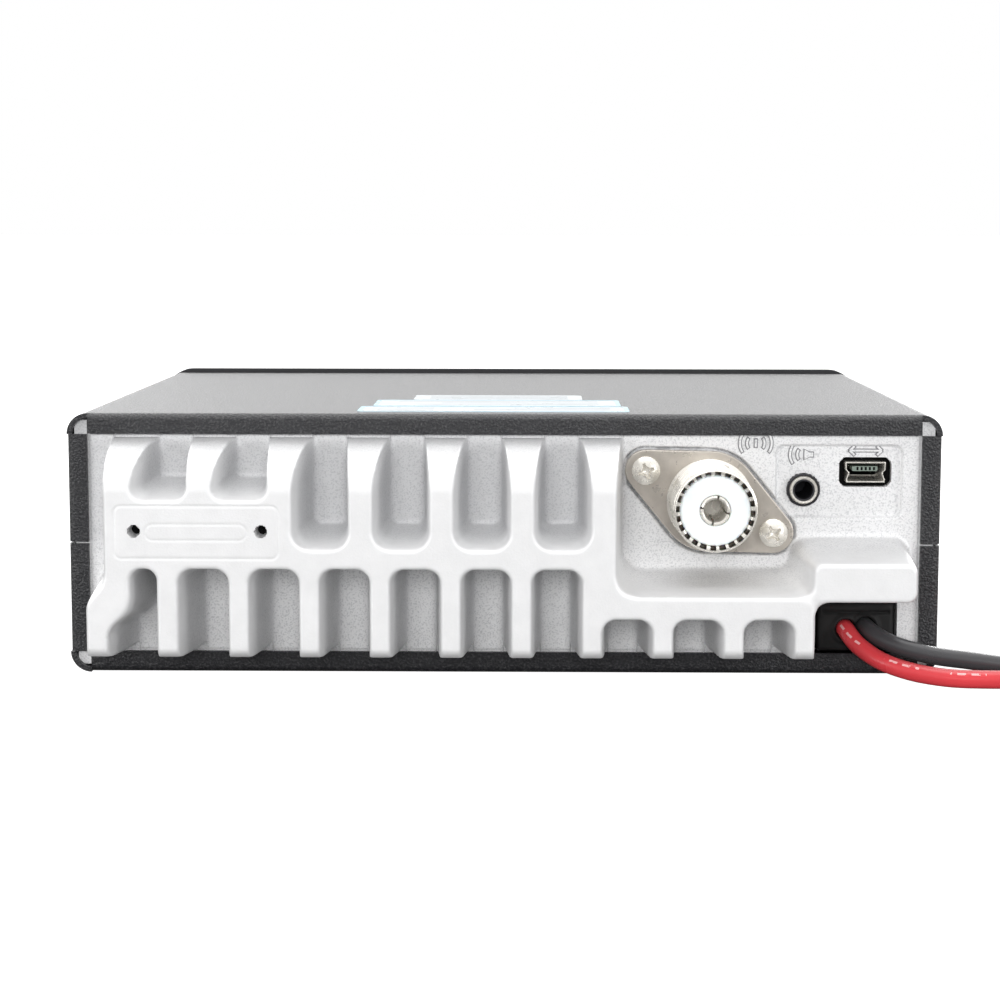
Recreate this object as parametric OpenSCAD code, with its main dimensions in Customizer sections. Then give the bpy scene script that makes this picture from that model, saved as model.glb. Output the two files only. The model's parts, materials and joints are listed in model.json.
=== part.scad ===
// Compact mobile transceiver with a finned die-cast rear, as an assembly of separate pieces.
// Millimetres. +Z up, front panel towards -Y, finned rear towards +Y, left of the front at -X.
// Origin: centre of the flat underside of the bottom cover.

/* [Covers] */
// Width over the covers
body_w = 170; // [150:1:190]
// Height over the covers
body_h = 51; // [44:1:60]
// Length of the covers, front to rear
cover_len = 126; // [100:1:160]
// Thickness of the sheet steel
sheet = 1; // [0.8:0.1:1.5]
// Outer radius of the covers' bends
bend_r = 4.1; // [2:0.1:6]
// Height of the rear flanges
flange_w = 4; // [3:0.1:6]

/* [Heatsink] */
// How far the fins stand behind the covers
fin_reach = 23.5; // [15:0.5:30]
// Distance between upper fins
upper_pitch = 15; // [12:0.1:18]
// Width of an upper groove at the fins' ends
upper_groove = 10.4; // [8:0.1:12]
// Distance between lower fins
lower_pitch = 13.13; // [10:0.01:16]
// Width of a lower groove at the fins' ends
lower_groove = 9.35; // [7:0.05:11]
// How much each groove wall leans in by its floor
draft = 1.85; // [0:0.05:2.5]

/* [Rear connectors] */
// Left-right place of the antenna connector
antenna_x = -40; // [-60:0.5:60]
// Height of the antenna connector's axis
antenna_z = 34.1; // [20:0.1:40]
// Diameter of the antenna connector's threaded barrel
barrel_d = 15.88; // [15.8:0.01:15.95]
// Distance from the connector's axis to each of its screws
flange_screw_at = 13.8; // [11:0.1:16]
// Turn of the connector's flange about its axis
flange_turn = 26; // [-45:1:45]

/* [Front panel] */
// Width of the front panel
panel_w = 172; // [160:1:190]
// Height of the front panel
panel_h = 52; // [46:1:62]
// Depth of the front panel
panel_d = 24.7; // [15:0.1:40]
// Diameter of the channel knob
knob_d = 30; // [22:0.5:36]
// How far a push button travels
travel = 0.6; // [0.3:0.1:1]

/* [Leads] */
// Diameter of each power lead
lead_d = 3.5; // [2:0.1:5]

/* [Hidden] */
$fn = 64;
eps = 0.01;
gap = 0.3;
cover_y = cover_len / 2;
base_y = cover_y - sheet;
face_y = cover_y + fin_reach;
plate_y = base_y - 3;
wall_out = body_w / 2 - sheet - gap;
wall_in = wall_out - 2.5;
split_z = 25.6;
shelf_z = 20;
shelf_t = 2;
pcb_z = 27;
pcb_t = 1.6;
pcb_top = pcb_z + pcb_t;
panel_y = -cover_y - gap;
front_y = panel_y - panel_d;
wall_y = front_y + 2.5;
board_y = wall_y + 7;
board_back = board_y + pcb_t;
recess_y = base_y - 0.6;
jack_floor = base_y - 1.2;
jack_x = -58.4;
jack_z = 36.2;
port_x = -70.4;
port_z = 39.7;
notch_x0 = -77;
notch_x1 = -61;
notch_top = 15;
channel_x = 57;
channel_z = 29;
volume_x = -70;
volume_z = 38.3;
mic_x = -70;
mic_z = 15.5;
lens = [84, 26.5];
lens_at = [-12, 33.2];
button_z = 10.5;
button_size = [11, 5.6];
button_x = [-47, -33, -19, -5, 9, 23];
power_at = [77, 9.5];
power_r = 4;
board_screws = [[-80, 27], [36, 5.4], [79, 43], [79, 20]];
flange_bend = 1.6;
panel_roof = 48.6;
panel_slope = 2.4;
fin_end = 6.1;
cover_screw_y = [-46, 44];
cover_screw_z = [9, 42];
bracket_y = [-20, 10];
bracket_z = 35;
panel_screw_z = [13, 39];
panel_screw_y = -68.5;
pcb_screws_at = [[-70, -50], [70, -50], [-70, 38], [70, 38]];
frame_screw_x = 79;
frame_screw_z = [27, 42];
speaker_y = -14;
speaker_r = 33;
red_at = [-67, 8.9];
black_at = [-70.8, 9.4];

steel_black = [0.09, 0.09, 0.1];
cast_silver = [0.8, 0.8, 0.81];
nickel = [0.76, 0.73, 0.68];
plastic_black = [0.07, 0.07, 0.08];
rubber_black = [0.05, 0.05, 0.05];
steel = [0.72, 0.72, 0.74];
board_green = [0.05, 0.3, 0.16];
white = [0.93, 0.93, 0.92];
gold = [0.83, 0.68, 0.3];

// Power leads: routes run out of the grommet, down to the table and once round a loose coil.
coil_at = [-126, 52];
coil_low = lead_d / 2;
coil_high = 5.35;
red_out = [
    [-67, 50, 8.9], [-67, 57, 8.9], [-67, 63, 8.8], [-68.6, 67.2, 6.8], [-72.4, 70.8, 4.4],
    [-77.6, 73.4, 2.8], [-84.5, 75.4, 1.9], [-92, 76.2, 1.75], [-100, 75.8, 1.75], [-108, 74.8, 1.75], [-117, 73.6, 1.75]
];
black_out = [
    [-70.8, 50, 9.4], [-70.8, 57, 9.4], [-70.8, 62.5, 9.4], [-72, 66.3, 8.6], [-75.6, 68.8, 7],
    [-82.5, 69.6, 5.2], [-90, 69.2, 4.1], [-97, 68.5, 3.1], [-104, 67.9, 2.2],
    [-111, 67.9, 1.8], [-119, 68.8, 1.75]
];
red_coil_r = 21;
black_coil_r = 17.2;
plug_y = 28;
plug_len = 24;
plug_at = [-145.1, 4.2];

// ---------- helpers ----------
module span(lo, hi) {
    translate(lo) cube(hi - lo);
}

// Cylinder along Y from y0 to y1, centred on x, z.
module rod_y(x, z, r, y0, y1) {
    translate([x, y1, z]) rotate([90, 0, 0]) cylinder(r = r, h = y1 - y0);
}

// Cylinder along X from x0 to x1, centred on y, z.
module rod_x(y, z, r, x0, x1) {
    translate([x0, y, z]) rotate([0, 90, 0]) cylinder(r = r, h = x1 - x0);
}

// Bar along Y with rounded edges, from y0 to y1 and from x0, z0 to x1, z1.
module round_bar(x0, x1, z0, z1, r, y0, y1) {
    span([x0 + r, y0, z0], [x1 - r, y1, z1]);
    span([x0, y0, z0 + r], [x1, y1, z1 - r]);
    for (x = [x0 + r, x1 - r], z = [z0 + r, z1 - r])
        rod_y(x, z, r, y0, y1);
}

// Prism along X of a [y, z] outline.
module prism_x(points, x0, x1) {
    translate([x0, 0, 0]) rotate([90, 0, 90]) linear_extrude(x1 - x0) polygon(points);
}

// Prism along Z of an [x, y] outline.
module prism_z(points, z0, z1) {
    translate([0, 0, z0]) linear_extrude(z1 - z0) polygon(points);
}

// Prism along Y of an [x, z] outline.
module prism_y(points, y0, y1) {
    translate([0, y1, 0]) rotate([90, 0, 0]) linear_extrude(y1 - y0) polygon(points);
}

// ---------- covers ----------
module cover_shell() {
    difference() {
        round_bar(-body_w / 2, body_w / 2, 0, body_h, bend_r, -cover_y, cover_y);
        round_bar(
            -body_w / 2 + sheet, body_w / 2 - sheet, sheet, body_h - sheet, bend_r - sheet,
            -cover_y - 1, cover_y + 1
        );
    }
}

// Rounds the outer edge of a rear flange of the covers, along the top, the bottom or a side.
function bend_points(at) = concat(
    [[cover_y + 1, at + 1], [cover_y - flange_bend, at + 1]],
    [for (a = [90:-22.5:0])
        [cover_y - flange_bend + flange_bend * cos(a), at - flange_bend + flange_bend * sin(a)]],
    [[cover_y + 1, at - flange_bend]]
);

module flange_bends() {
    prism_x(bend_points(body_h), -81, 81);
    translate([0, 0, body_h]) mirror([0, 0, 1]) prism_x(bend_points(body_h), -81, 81);
    for (side = [0, 1])
        mirror([side, 0, 0])
            prism_z([for (p = bend_points(body_w / 2)) [p[1], p[0]]], bend_r, body_h - bend_r);
}

module side_holes() {
    for (side = [-1, 1], y = cover_screw_y, z = cover_screw_z)
        rod_x(y, z, 1.7, side * body_w / 2 - 4, side * body_w / 2 + 4);
    for (side = [-1, 1], y = bracket_y)
        rod_x(y, bracket_z, 4.1, side * body_w / 2 - 4, side * body_w / 2 + 4);
}

module top_cover() color(steel_black) difference() {
    union() {
        intersection() {
            cover_shell();
            span([-body_w, -cover_len, split_z + 0.2], [body_w, cover_len, body_h + 1]);
        }
        span([-81, base_y, body_h - flange_w], [81, cover_y, body_h - sheet + eps]);
        for (side = [-1, 1])
            span(
                [side > 0 ? 81.1 : -84 - eps, base_y, split_z + 0.2],
                [side > 0 ? 84 + eps : -81.1, cover_y, body_h - bend_r]
            );
    }
    side_holes();
    flange_bends();
}

module grille() {
    pitch = 5.4;
    for (i = [-4:4]) {
        half = sqrt(pow(26, 2) - pow(i * pitch, 2));
        span([-half, speaker_y + i * pitch - 1.3, -1], [half, speaker_y + i * pitch + 1.3, sheet + 1]);
    }
}

module bottom_cover() color(steel_black) difference() {
    union() {
        intersection() {
            cover_shell();
            span([-body_w, -cover_len, -1], [body_w, cover_len, split_z - 0.2]);
        }
        span([-81, base_y, sheet - eps], [81, cover_y, flange_w + 0.2]);
        for (side = [-1, 1])
            span(
                [side > 0 ? 81.1 : -84 - eps, base_y, bend_r],
                [side > 0 ? 84 + eps : -81.1, cover_y, split_z - 0.2]
            );
    }
    side_holes();
    flange_bends();
    grille();
}

module cover_screws() color(steel)
    for (side = [-1, 1], y = cover_screw_y, z = cover_screw_z)
        translate([side * body_w / 2, y, z]) rotate([0, side * 90, 0]) {
            cylinder(r = 2.8, h = 1.5);
            translate([0, 0, -5]) cylinder(r = 1.45, h = 5 + eps);
        }

module bracket_nuts() color(steel)
    for (side = [-1, 1], y = bracket_y)
        difference() {
            rod_x(y, bracket_z, 3.8, side > 0 ? 79.5 : -85, side > 0 ? 85 : -79.5);
            rod_x(y, bracket_z, 1.65, side * 82 - 5, side * 82 + 5);
        }

module rear_labels() color(white) {
    thick = 0.25;
    span([-24.6, 46, body_h], [28.8, 59, body_h + thick]);
    span([-23.4, 29, body_h], [26.6, 45, body_h + thick]);
    span([-16, 15, body_h], [19.3, 28, body_h + thick]);
}

// ---------- heatsink casting ----------
// Side outline of the finned block: curved top, slightly rounded lower end.
function fin_outline() = concat(
    [[plate_y, 4.6], [face_y - 2.2, 5.4], [face_y, 7.4]],
    [for (a = [0:11.25:90])
        [base_y + (face_y - base_y) * pow(cos(a), 0.92), 37.9 + 8.3 * pow(sin(a), 0.92)]],
    [[plate_y, 46.2]]
);

// Groove with walls that lean in towards its floor, between z outlines lo and hi ([floor, mouth]).
module groove(x, mouth, lo, hi) {
    deep = face_y - base_y;
    m = mouth / 2;
    intersection() {
        prism_z([
            [x - m + draft, base_y], [x + m - draft, base_y],
            [x + m + draft / deep, face_y + 1], [x - m - draft / deep, face_y + 1]
        ], -5, 60);
        prism_x([
            [base_y - eps, lo[0]], [face_y + 1, lo[1]], [face_y + 1, hi[1]], [base_y - eps, hi[0]]
        ], x - mouth, x + mouth);
    }
}

module upper_grooves() {
    for (i = [0:5]) {
        short = i > 3;
        groove(
            -11.3 + upper_pitch * i, upper_groove,
            short ? [37.2, 36.7] : [29.4, 27.6], [60, 60]
        );
    }
}

module lower_grooves() {
    for (i = [-3:5]) {
        short = i < 0;
        groove(
            -10.2 + lower_pitch * i, lower_groove,
            [0, 0], short ? [13, 14.6] : [22.1, 23.9]
        );
    }
    prism_y([
        [69.1, 23.9], [64.1, 23.9], [64.1, 0], [72.6, 0], [73.2, 13], [69.1, 17]
    ], base_y, face_y + 1);
}

module finned_block() difference() {
    union() {
        prism_x(fin_outline(), -21.2, 73.9);
        prism_x([
            [plate_y, fin_end], [face_y - 2.2, fin_end + 0.9], [face_y, fin_end + 2.9], [face_y, 18.9],
            [base_y, 20.6], [plate_y, 20.6]
        ], -58, 77.2);
        cable_boss();
    }
    upper_grooves();
    lower_grooves();
    name_recess();
}

// Block that roofs the lead opening.
module cable_boss() {
    intersection() {
        prism_x([
            [plate_y, 16.6], [base_y, 16.6], [face_y, 18], [face_y, 25.2], [base_y, 27], [plate_y, 27]
        ], -77, -55.6);
        prism_z([
            [-77, plate_y], [-55.6, plate_y], [-55.8, base_y], [-57.7, face_y], [-76.9, face_y]
        ], 0, 40);
    }
}

// Shallow panel for a name plate, with two pin holes and an oblong groove.
module name_recess() {
    span([41.5, face_y - 0.4, 25.9], [71.8, face_y + 1, 35.7]);
    for (x = [44.6, 68.2])
        rod_y(x, 31, 0.95, face_y - 4, face_y + 1);
    span([48.8, face_y - 0.8, 29.3], [64.6, face_y + 1, 32.3]);
    for (x = [48.8, 64.6])
        rod_y(x, 30.8, 1.5, face_y - 0.8, face_y + 1);
}

// Two-hole flange outline as a solid from y0 to y1: middle radius big, end radius small.
module flange_solid(big, small, y0, y1) {
    tilt = acos((big - small) / flange_screw_at);
    translate([antenna_x, 0, antenna_z]) rotate([0, -flange_turn, 0]) {
        rod_y(0, 0, big, y0, y1);
        for (side = [-1, 1]) {
            rod_y(side * flange_screw_at, 0, small, y0, y1);
            prism_y([
                [0, big], [side * big * cos(tilt), big * sin(tilt)],
                [side * (flange_screw_at + small * cos(tilt)), small * sin(tilt)],
                [side * (flange_screw_at + small * cos(tilt)), -small * sin(tilt)],
                [side * big * cos(tilt), -big * sin(tilt)], [0, -big]
            ], y0, y1);
        }
    }
}

function flange_screw(side) = [
    antenna_x + side * flange_screw_at * cos(flange_turn),
    antenna_z + side * flange_screw_at * sin(flange_turn)
];

module rear_plate() {
    round_bar(-wall_out, wall_out, 1.4, body_h - 1.4, 1, plate_y, base_y - gap);
    span([-80.8, plate_y, 4.5], [80.8, base_y, 46.8]);
}

module connector_cuts() {
    flange_solid(10.8, 4.7, recess_y, base_y + 1);
    rod_y(antenna_x, antenna_z, 5.2, plate_y - 1, base_y + 1);
    for (side = [-1, 1])
        rod_y(flange_screw(side)[0], flange_screw(side)[1], 1.3, plate_y - 1, base_y + 1);
    round_bar(-77.4, -53, 31, 45, 1.5, jack_floor, base_y + 1);
    rod_y(jack_x, jack_z, 3.3, plate_y - 1, base_y);
    round_bar(port_x - 5.1, port_x + 5.1, port_z - 2.9, port_z + 2.9, 0.8, plate_y - 1, base_y);
}

module rear_heatsink() color(cast_silver) difference() {
    union() {
        rear_plate();
        finned_block();
    }
    connector_cuts();
    span([notch_x0, plate_y - 1, 0], [notch_x1, base_y + 5, notch_top]);
    for (x = [-frame_screw_x, frame_screw_x], z = frame_screw_z)
        rod_y(x, z, 1.25, plate_y - 1, plate_y + 2);
}

// ---------- chassis frame ----------
// Two side walls, a shelf between them, ears into the front panel and tabs for the heatsink.
module chassis_frame() color(cast_silver) difference() {
    union() {
        for (side = [-1, 1])
            mirror([side < 0 ? 1 : 0, 0, 0]) {
                span([wall_in, -cover_y + 1, 5], [wall_out, plate_y, 46]);
                span([wall_in, -74, 8], [wall_out, -cover_y + 2, 44]);
                span([76, plate_y - 2, shelf_z], [wall_in + eps, plate_y, 46]);
            }
        span([-wall_in - eps, -cover_y + 1, shelf_z], [wall_in + eps, plate_y, shelf_z + shelf_t]);
        for (p = pcb_screws_at)
            translate([p[0], p[1], shelf_z]) cylinder(r = 3.2, h = pcb_z - shelf_z);
    }
    for (side = [-1, 1], y = cover_screw_y, z = cover_screw_z)
        rod_x(y, z, 1.5, side * 82.5 - 4, side * 82.5 + 4);
    for (side = [-1, 1], y = bracket_y)
        rod_x(y, bracket_z, 3.8, side * 82.5 - 4, side * 82.5 + 4);
    for (side = [-1, 1], z = panel_screw_z)
        rod_x(panel_screw_y, z, 1.55, side * 82.5 - 4, side * 82.5 + 4);
    for (p = pcb_screws_at)
        translate([p[0], p[1], shelf_z - 1]) cylinder(r = 1.25, h = 20);
    for (x = [-frame_screw_x, frame_screw_x], z = frame_screw_z)
        rod_y(x, z, 1.4, plate_y - 3, plate_y + 1);
}

// ---------- antenna connector ----------
module antenna_body() color(nickel) difference() {
    union() {
        flange_solid(9.8, 4, recess_y, recess_y + 2);
        rod_y(antenna_x, antenna_z, barrel_d / 2, recess_y, base_y + 16.8);
    }
    rod_y(antenna_x, antenna_z, 6.7, recess_y - 1, base_y + 20);
    for (side = [-1, 1])
        rod_y(flange_screw(side)[0], flange_screw(side)[1], 1.6, recess_y - 1, recess_y + 4);
}

module antenna_insulator() color(white) difference() {
    union() {
        rod_y(antenna_x, antenna_z, 6.7, recess_y, base_y + 16);
        rod_y(antenna_x, antenna_z, 4.8, plate_y - 2, recess_y + eps);
    }
    rod_y(antenna_x, antenna_z, 2.85, base_y + 2, base_y + 20);
    rod_y(antenna_x, antenna_z, 1.5, plate_y - 5, base_y + 5);
}

module antenna_contact() color(nickel) difference() {
    union() {
        rod_y(antenna_x, antenna_z, 2.85, base_y + 2, base_y + 16.2);
        rod_y(antenna_x, antenna_z, 1.5, plate_y - 8, base_y + 2 + eps);
    }
    rod_y(antenna_x, antenna_z, 2, base_y + 4, base_y + 20);
}

module antenna_screws() color(steel)
    for (side = [-1, 1]) {
        at = flange_screw(side);
        rod_y(at[0], at[1], 2.75, recess_y + 2, recess_y + 3.9);
        rod_y(at[0], at[1], 1.25, plate_y - 3, recess_y + 2 + eps);
    }

// ---------- jacks ----------
module speaker_jack() color(plastic_black) difference() {
    union() {
        span([jack_x - 5, 47.2, jack_z - 5.5], [jack_x + 5, plate_y - 0.2, jack_z + 5]);
        rod_y(jack_x, jack_z, 2.6, plate_y - 0.3, base_y - 0.2);
    }
    rod_y(jack_x, jack_z, 1.8, 49, base_y + 1);
}

// Outline of the small data port, wider at the top half.
module port_solid(w, h, y0, y1) {
    prism_y([
        [port_x - w / 2, port_z + h / 2], [port_x + w / 2, port_z + h / 2],
        [port_x + w / 2, port_z - h * 0.05],
        [port_x + w / 2 - 0.55, port_z - h / 2], [port_x - w / 2 + 0.55, port_z - h / 2],
        [port_x - w / 2, port_z - h * 0.05]
    ], y0, y1);
}

module data_shell() color(nickel) difference() {
    port_solid(7.8, 4, 50, base_y - 0.6);
    port_solid(7.1, 3.3, 51, base_y + 1);
}

module data_tongue() color(plastic_black)
    span([port_x - 2.4, 51, port_z + 0.1], [port_x + 2.4, base_y - 1.6, port_z + 1]);

module port_board() color(board_green) difference() {
    span([-79, 45.6, pcb_top], [-52, 47.2, 45.5]);
    rod_y(jack_x, jack_z, 1, 40, 50);
}

// ---------- power leads ----------
module grommet() color(rubber_black) difference() {
    union() {
        round_bar(notch_x0 + 0.6, notch_x1 - 0.6, 4.5, 14, 1, plate_y - 0.2, base_y + 1);
        round_bar(notch_x0 - 1.5, notch_x1 + 1.5, 4.5, 16.5, 1, plate_y - 3, plate_y - 0.2 + eps);
    }
    rod_y(red_at[0], red_at[1], lead_d / 2, plate_y - 4, base_y + 2);
    rod_y(black_at[0], black_at[1], lead_d / 2, plate_y - 4, base_y + 2);
}

module dc_terminal() color(plastic_black)
    span([-77, 42, 5], [-61, 50, shelf_z]);

function smooth(t) = t <= 0 ? 0 : t >= 1 ? 1 : t * t * (3 - 2 * t);

// One and a quarter turns: on the table first, then up and over the lead's own start.
function coil_points(r) = [
    for (a = [0:20:440])
        [
            coil_at[0] - r * sin(a), coil_at[1] + r * cos(a),
            coil_low + (coil_high - coil_low) * smooth((a - 190) / 120)
        ]
];

function lead_end(r) = [
    [coil_at[0] - r, coil_at[1] - 2, coil_high], [coil_at[0] - r, coil_at[1] - 9, coil_high],
    [coil_at[0] - r, coil_at[1] - 15, 5.1], [plug_at[0] + (r < 19 ? 1.9 : -1.9), plug_y, plug_at[1]]
];

function lead_path(out, r) = concat(out, coil_points(r), lead_end(r));

function unit(v) = v / norm(v);

function along(path, i) = unit(path[min(i + 1, len(path) - 1)] - path[max(i - 1, 0)]);

// Tube of 8 sides swept along a path, closed at both ends.
module lead_tube(path) {
    sides = 8;
    last = len(path) - 1;
    points = [
        for (i = [0:last])
            let (t = along(path, i), s = unit(cross(t, [0, 0, 1])), u = cross(s, t))
                for (k = [0:sides - 1])
                    path[i] + lead_d / 2 * (s * cos(360 * (k + 0.5) / sides) + u * sin(360 * (k + 0.5) / sides))
    ];
    faces = concat(
        [for (i = [0:last - 1], k = [0:sides - 1])
            let (n = (k + 1) % sides)
                [i * sides + k, i * sides + n, (i + 1) * sides + n, (i + 1) * sides + k]],
        [[for (k = [sides - 1:-1:0]) k]],
        [[for (k = [0:sides - 1]) last * sides + k]]
    );
    polyhedron(points, faces, convexity = 6);
}

module red_lead() color([0.8, 0.1, 0.1]) lead_tube(lead_path(red_out, red_coil_r));

module black_lead() color(rubber_black) lead_tube(lead_path(black_out, black_coil_r));

module dc_plug() color(white) difference() {
    round_bar(
        plug_at[0] - 6.2, plug_at[0] + 6.2, 0, 2 * plug_at[1], 0.8,
        plug_y - plug_len, plug_y
    );
    for (side = [-1, 1])
        rod_y(plug_at[0] + side * 2.9, plug_at[1], 2.1, plug_y - plug_len - 1, plug_y - plug_len + 12);
}

module dc_contacts() color(nickel)
    for (side = [-1, 1])
        difference() {
            rod_y(plug_at[0] + side * 2.9, plug_at[1], 1.8, plug_y - plug_len + 1, plug_y - plug_len + 12);
            rod_y(plug_at[0] + side * 2.9, plug_at[1], 1.2, plug_y - plug_len, plug_y - plug_len + 10);
        }

// ---------- front panel ----------
module front_panel() color(plastic_black) difference() {
    union() {
        difference() {
            union() {
                round_bar(-panel_w / 2, panel_w / 2, 0, panel_h, 7.5, front_y + 1.5, panel_y);
                round_bar(-panel_w / 2 + 1, panel_w / 2 - 1, 1, panel_h - 1, 6.5, front_y, front_y + 2);
            }
            round_bar(-panel_w / 2 + 2.2, panel_w / 2 - 2.2, 2.2, panel_roof, 5.3, wall_y, panel_y + 1);
            prism_x([
                [panel_y - 2, panel_h + 1], [panel_y - 2, panel_h], [front_y - 1, panel_h - panel_slope],
                [front_y - 1, panel_h + 1]
            ], -panel_w, panel_w);
        }
        for (p = board_screws)
            rod_y(p[0], p[1], 2.8, wall_y - eps, board_y);
    }
    span(
        [lens_at[0] - lens[0] / 2 - 0.2, front_y - 1, lens_at[1] - lens[1] / 2 - 0.2],
        [lens_at[0] + lens[0] / 2 + 0.2, front_y + 1.6, lens_at[1] + lens[1] / 2 + 0.2]
    );
    span(
        [lens_at[0] - lens[0] / 2 + 2, front_y, lens_at[1] - lens[1] / 2 + 2],
        [lens_at[0] + lens[0] / 2 - 2, wall_y + 1, lens_at[1] + lens[1] / 2 - 2]
    );
    for (p = board_screws)
        rod_y(p[0], p[1], 1.25, wall_y, board_y + 1);
    for (x = button_x)
        round_bar(
            x - button_size[0] / 2 - gap, x + button_size[0] / 2 + gap,
            button_z - button_size[1] / 2 - gap, button_z + button_size[1] / 2 + gap, 1.2,
            front_y - 1, wall_y + 1
        );
    rod_y(power_at[0], power_at[1], power_r + gap, front_y - 1, wall_y + 1);
    rod_y(mic_x, mic_z, 7.8, front_y - 1, wall_y + 1);
    rod_y(channel_x, channel_z, 3.8, front_y - 1, wall_y + 1);
    rod_y(volume_x, volume_z, 3.8, front_y - 1, wall_y + 1);
    for (side = [-1, 1], z = panel_screw_z) {
        rod_x(panel_screw_y, z, 1.6, side * 85 - 4, side * 85 + 4);
        translate([side * (panel_w / 2 + eps), panel_screw_y, z]) rotate([0, -side * 90, 0])
            cylinder(r1 = 2.9, r2 = 1.6, h = 1.5);
    }
}

module panel_screws() color(steel)
    for (side = [-1, 1], z = panel_screw_z)
        translate([side * (panel_w / 2 - 0.1), panel_screw_y, z]) rotate([0, -side * 90, 0]) {
            cylinder(r1 = 2.75, r2 = 1.5, h = 1.4);
            cylinder(r = 1.5, h = 7);
        }

module display_lens() color([0.1, 0.12, 0.14])
    round_bar(
        lens_at[0] - lens[0] / 2, lens_at[0] + lens[0] / 2, lens_at[1] - lens[1] / 2, lens_at[1] + lens[1] / 2,
        0.8, front_y, front_y + 1.55
    );

module lcd_glass() color([0.45, 0.5, 0.48])
    span([lens_at[0] - 39, wall_y + 0.7, lens_at[1] - 11], [lens_at[0] + 39, wall_y + 2.9, lens_at[1] + 11]);

module light_guide() color(white)
    span([lens_at[0] - 38, wall_y + 3.2, lens_at[1] - 10], [lens_at[0] + 38, wall_y + 5.7, lens_at[1] + 10]);

module lcd_holder() color(white) difference() {
    span([lens_at[0] - 42, wall_y + 0.5, lens_at[1] - 13], [lens_at[0] + 42, board_y - 0.1, lens_at[1] + 13]);
    span(
        [lens_at[0] - 39.2, wall_y - 1, lens_at[1] - 11.2],
        [lens_at[0] + 39.2, wall_y + 5.9, lens_at[1] + 11.2]
    );
}

module front_board() color(board_green) difference() {
    round_bar(-82.5, 82.5, 3.4, 48.2, 3, board_y, board_back);
    for (p = board_screws)
        rod_y(p[0], p[1], 1.5, board_y - 1, board_back + 1);
}

// Screws of the front board, the main board and the heatsink.
module board_screws() color(steel) {
    for (p = board_screws) {
        rod_y(p[0], p[1], 2.2, board_back, board_back + 1.5);
        rod_y(p[0], p[1], 1.2, board_y - 4, board_back + eps);
    }
    for (p = pcb_screws_at)
        translate([p[0], p[1], 0]) {
            translate([0, 0, pcb_top]) cylinder(r = 2.6, h = 1.8);
            translate([0, 0, shelf_z]) cylinder(r = 1.2, h = pcb_top - shelf_z + eps);
        }
    for (x = [-frame_screw_x, frame_screw_x], z = frame_screw_z) {
        rod_y(x, z, 2.1, plate_y - 3.6, plate_y - 2);
        rod_y(x, z, 1.2, plate_y - 2 - eps, plate_y + 1.9);
    }
}

module button_switches() color(plastic_black) {
    for (x = button_x)
        one_switch(x, button_z);
    one_switch(power_at[0], power_at[1]);
}

module one_switch(x, z) {
    span([x - 3, board_y - 3.5, z - 3], [x + 3, board_y, z + 3]);
    rod_y(x, z, 1.6, board_y - 4.4, board_y - 3.5 + eps);
}

// ---------- microphone connector ----------
module mic_shell() color(nickel) difference() {
    union() {
        rod_y(mic_x, mic_z, 7.9, front_y - 8, front_y - 2.2);
        rod_y(mic_x, mic_z, 7.5, front_y - 2.3, board_y - 1);
        rod_y(mic_x, mic_z, 9.2, wall_y, wall_y + 1.5);
    }
    rod_y(mic_x, mic_z, 6.8, front_y - 9, board_y);
}

module mic_insert() color(plastic_black) difference() {
    rod_y(mic_x, mic_z, 6.8, front_y - 1, board_y - 0.5);
    for (i = [0:4])
        rod_y(mic_x + 4.2 * cos(72 * i + 90), mic_z + 4.2 * sin(72 * i + 90), 0.7, front_y - 3, board_y);
    rod_y(mic_x, mic_z, 0.7, front_y - 3, board_y);
}

module mic_pins() color(gold) {
    for (i = [0:4])
        rod_y(mic_x + 4.2 * cos(72 * i + 90), mic_z + 4.2 * sin(72 * i + 90), 0.7, front_y - 6, board_y - 0.2);
    rod_y(mic_x, mic_z, 0.7, front_y - 6, board_y - 0.2);
}

module mic_nut() color(nickel) difference() {
    rod_y(mic_x, mic_z, 9.4, front_y - 2.2, front_y);
    rod_y(mic_x, mic_z, 7.5, front_y - 3, front_y + 1);
}

// ---------- knobs and their shafts ----------
module bushed_body(x, z) difference() {
    union() {
        span([x - 6.2, wall_y + 0.4, z - 6.2], [x + 6.2, board_y, z + 6.2]);
        rod_y(x, z, 3.5, front_y - 2, wall_y + 1);
    }
    rod_y(x, z, 3.05, front_y - 3, wall_y + 4);
}

module encoder() color(steel) bushed_body(channel_x, channel_z);

module control_pot() color(steel) bushed_body(volume_x, volume_z);

module channel_shaft() color(steel)
    rod_y(channel_x, channel_z, 3, front_y - 9, wall_y + 3.5);

module channel_knob() color(plastic_black) difference() {
    union() {
        rod_y(channel_x, channel_z, knob_d / 2, front_y - 4, front_y - 1);
        rod_y(channel_x, channel_z, knob_d / 2 - 1.2, front_y - 13, front_y - 4 + eps);
    }
    rod_y(channel_x, channel_z, 5.2, front_y - 3, front_y);
    rod_y(channel_x, channel_z, 3, front_y - 9, front_y - 2);
    rod_y(channel_x + 8.6, channel_z, 3, front_y - 14, front_y - 12.2);
}

module squelch_shaft() color(steel) difference() {
    rod_y(volume_x, volume_z, 3, front_y - 5, wall_y + 3.5);
    rod_y(volume_x, volume_z, 1.8, front_y - 6, wall_y + 4);
}

module squelch_knob() color(plastic_black) difference() {
    rod_y(volume_x, volume_z, 9.3, front_y - 5.5, front_y - 1);
    rod_y(volume_x, volume_z, 4.6, front_y - 2.8, front_y);
    rod_y(volume_x, volume_z, 3, front_y - 7, front_y - 2);
}

module volume_shaft() color(steel)
    rod_y(volume_x, volume_z, 1.75, front_y - 11, wall_y + 3.2);

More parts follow.
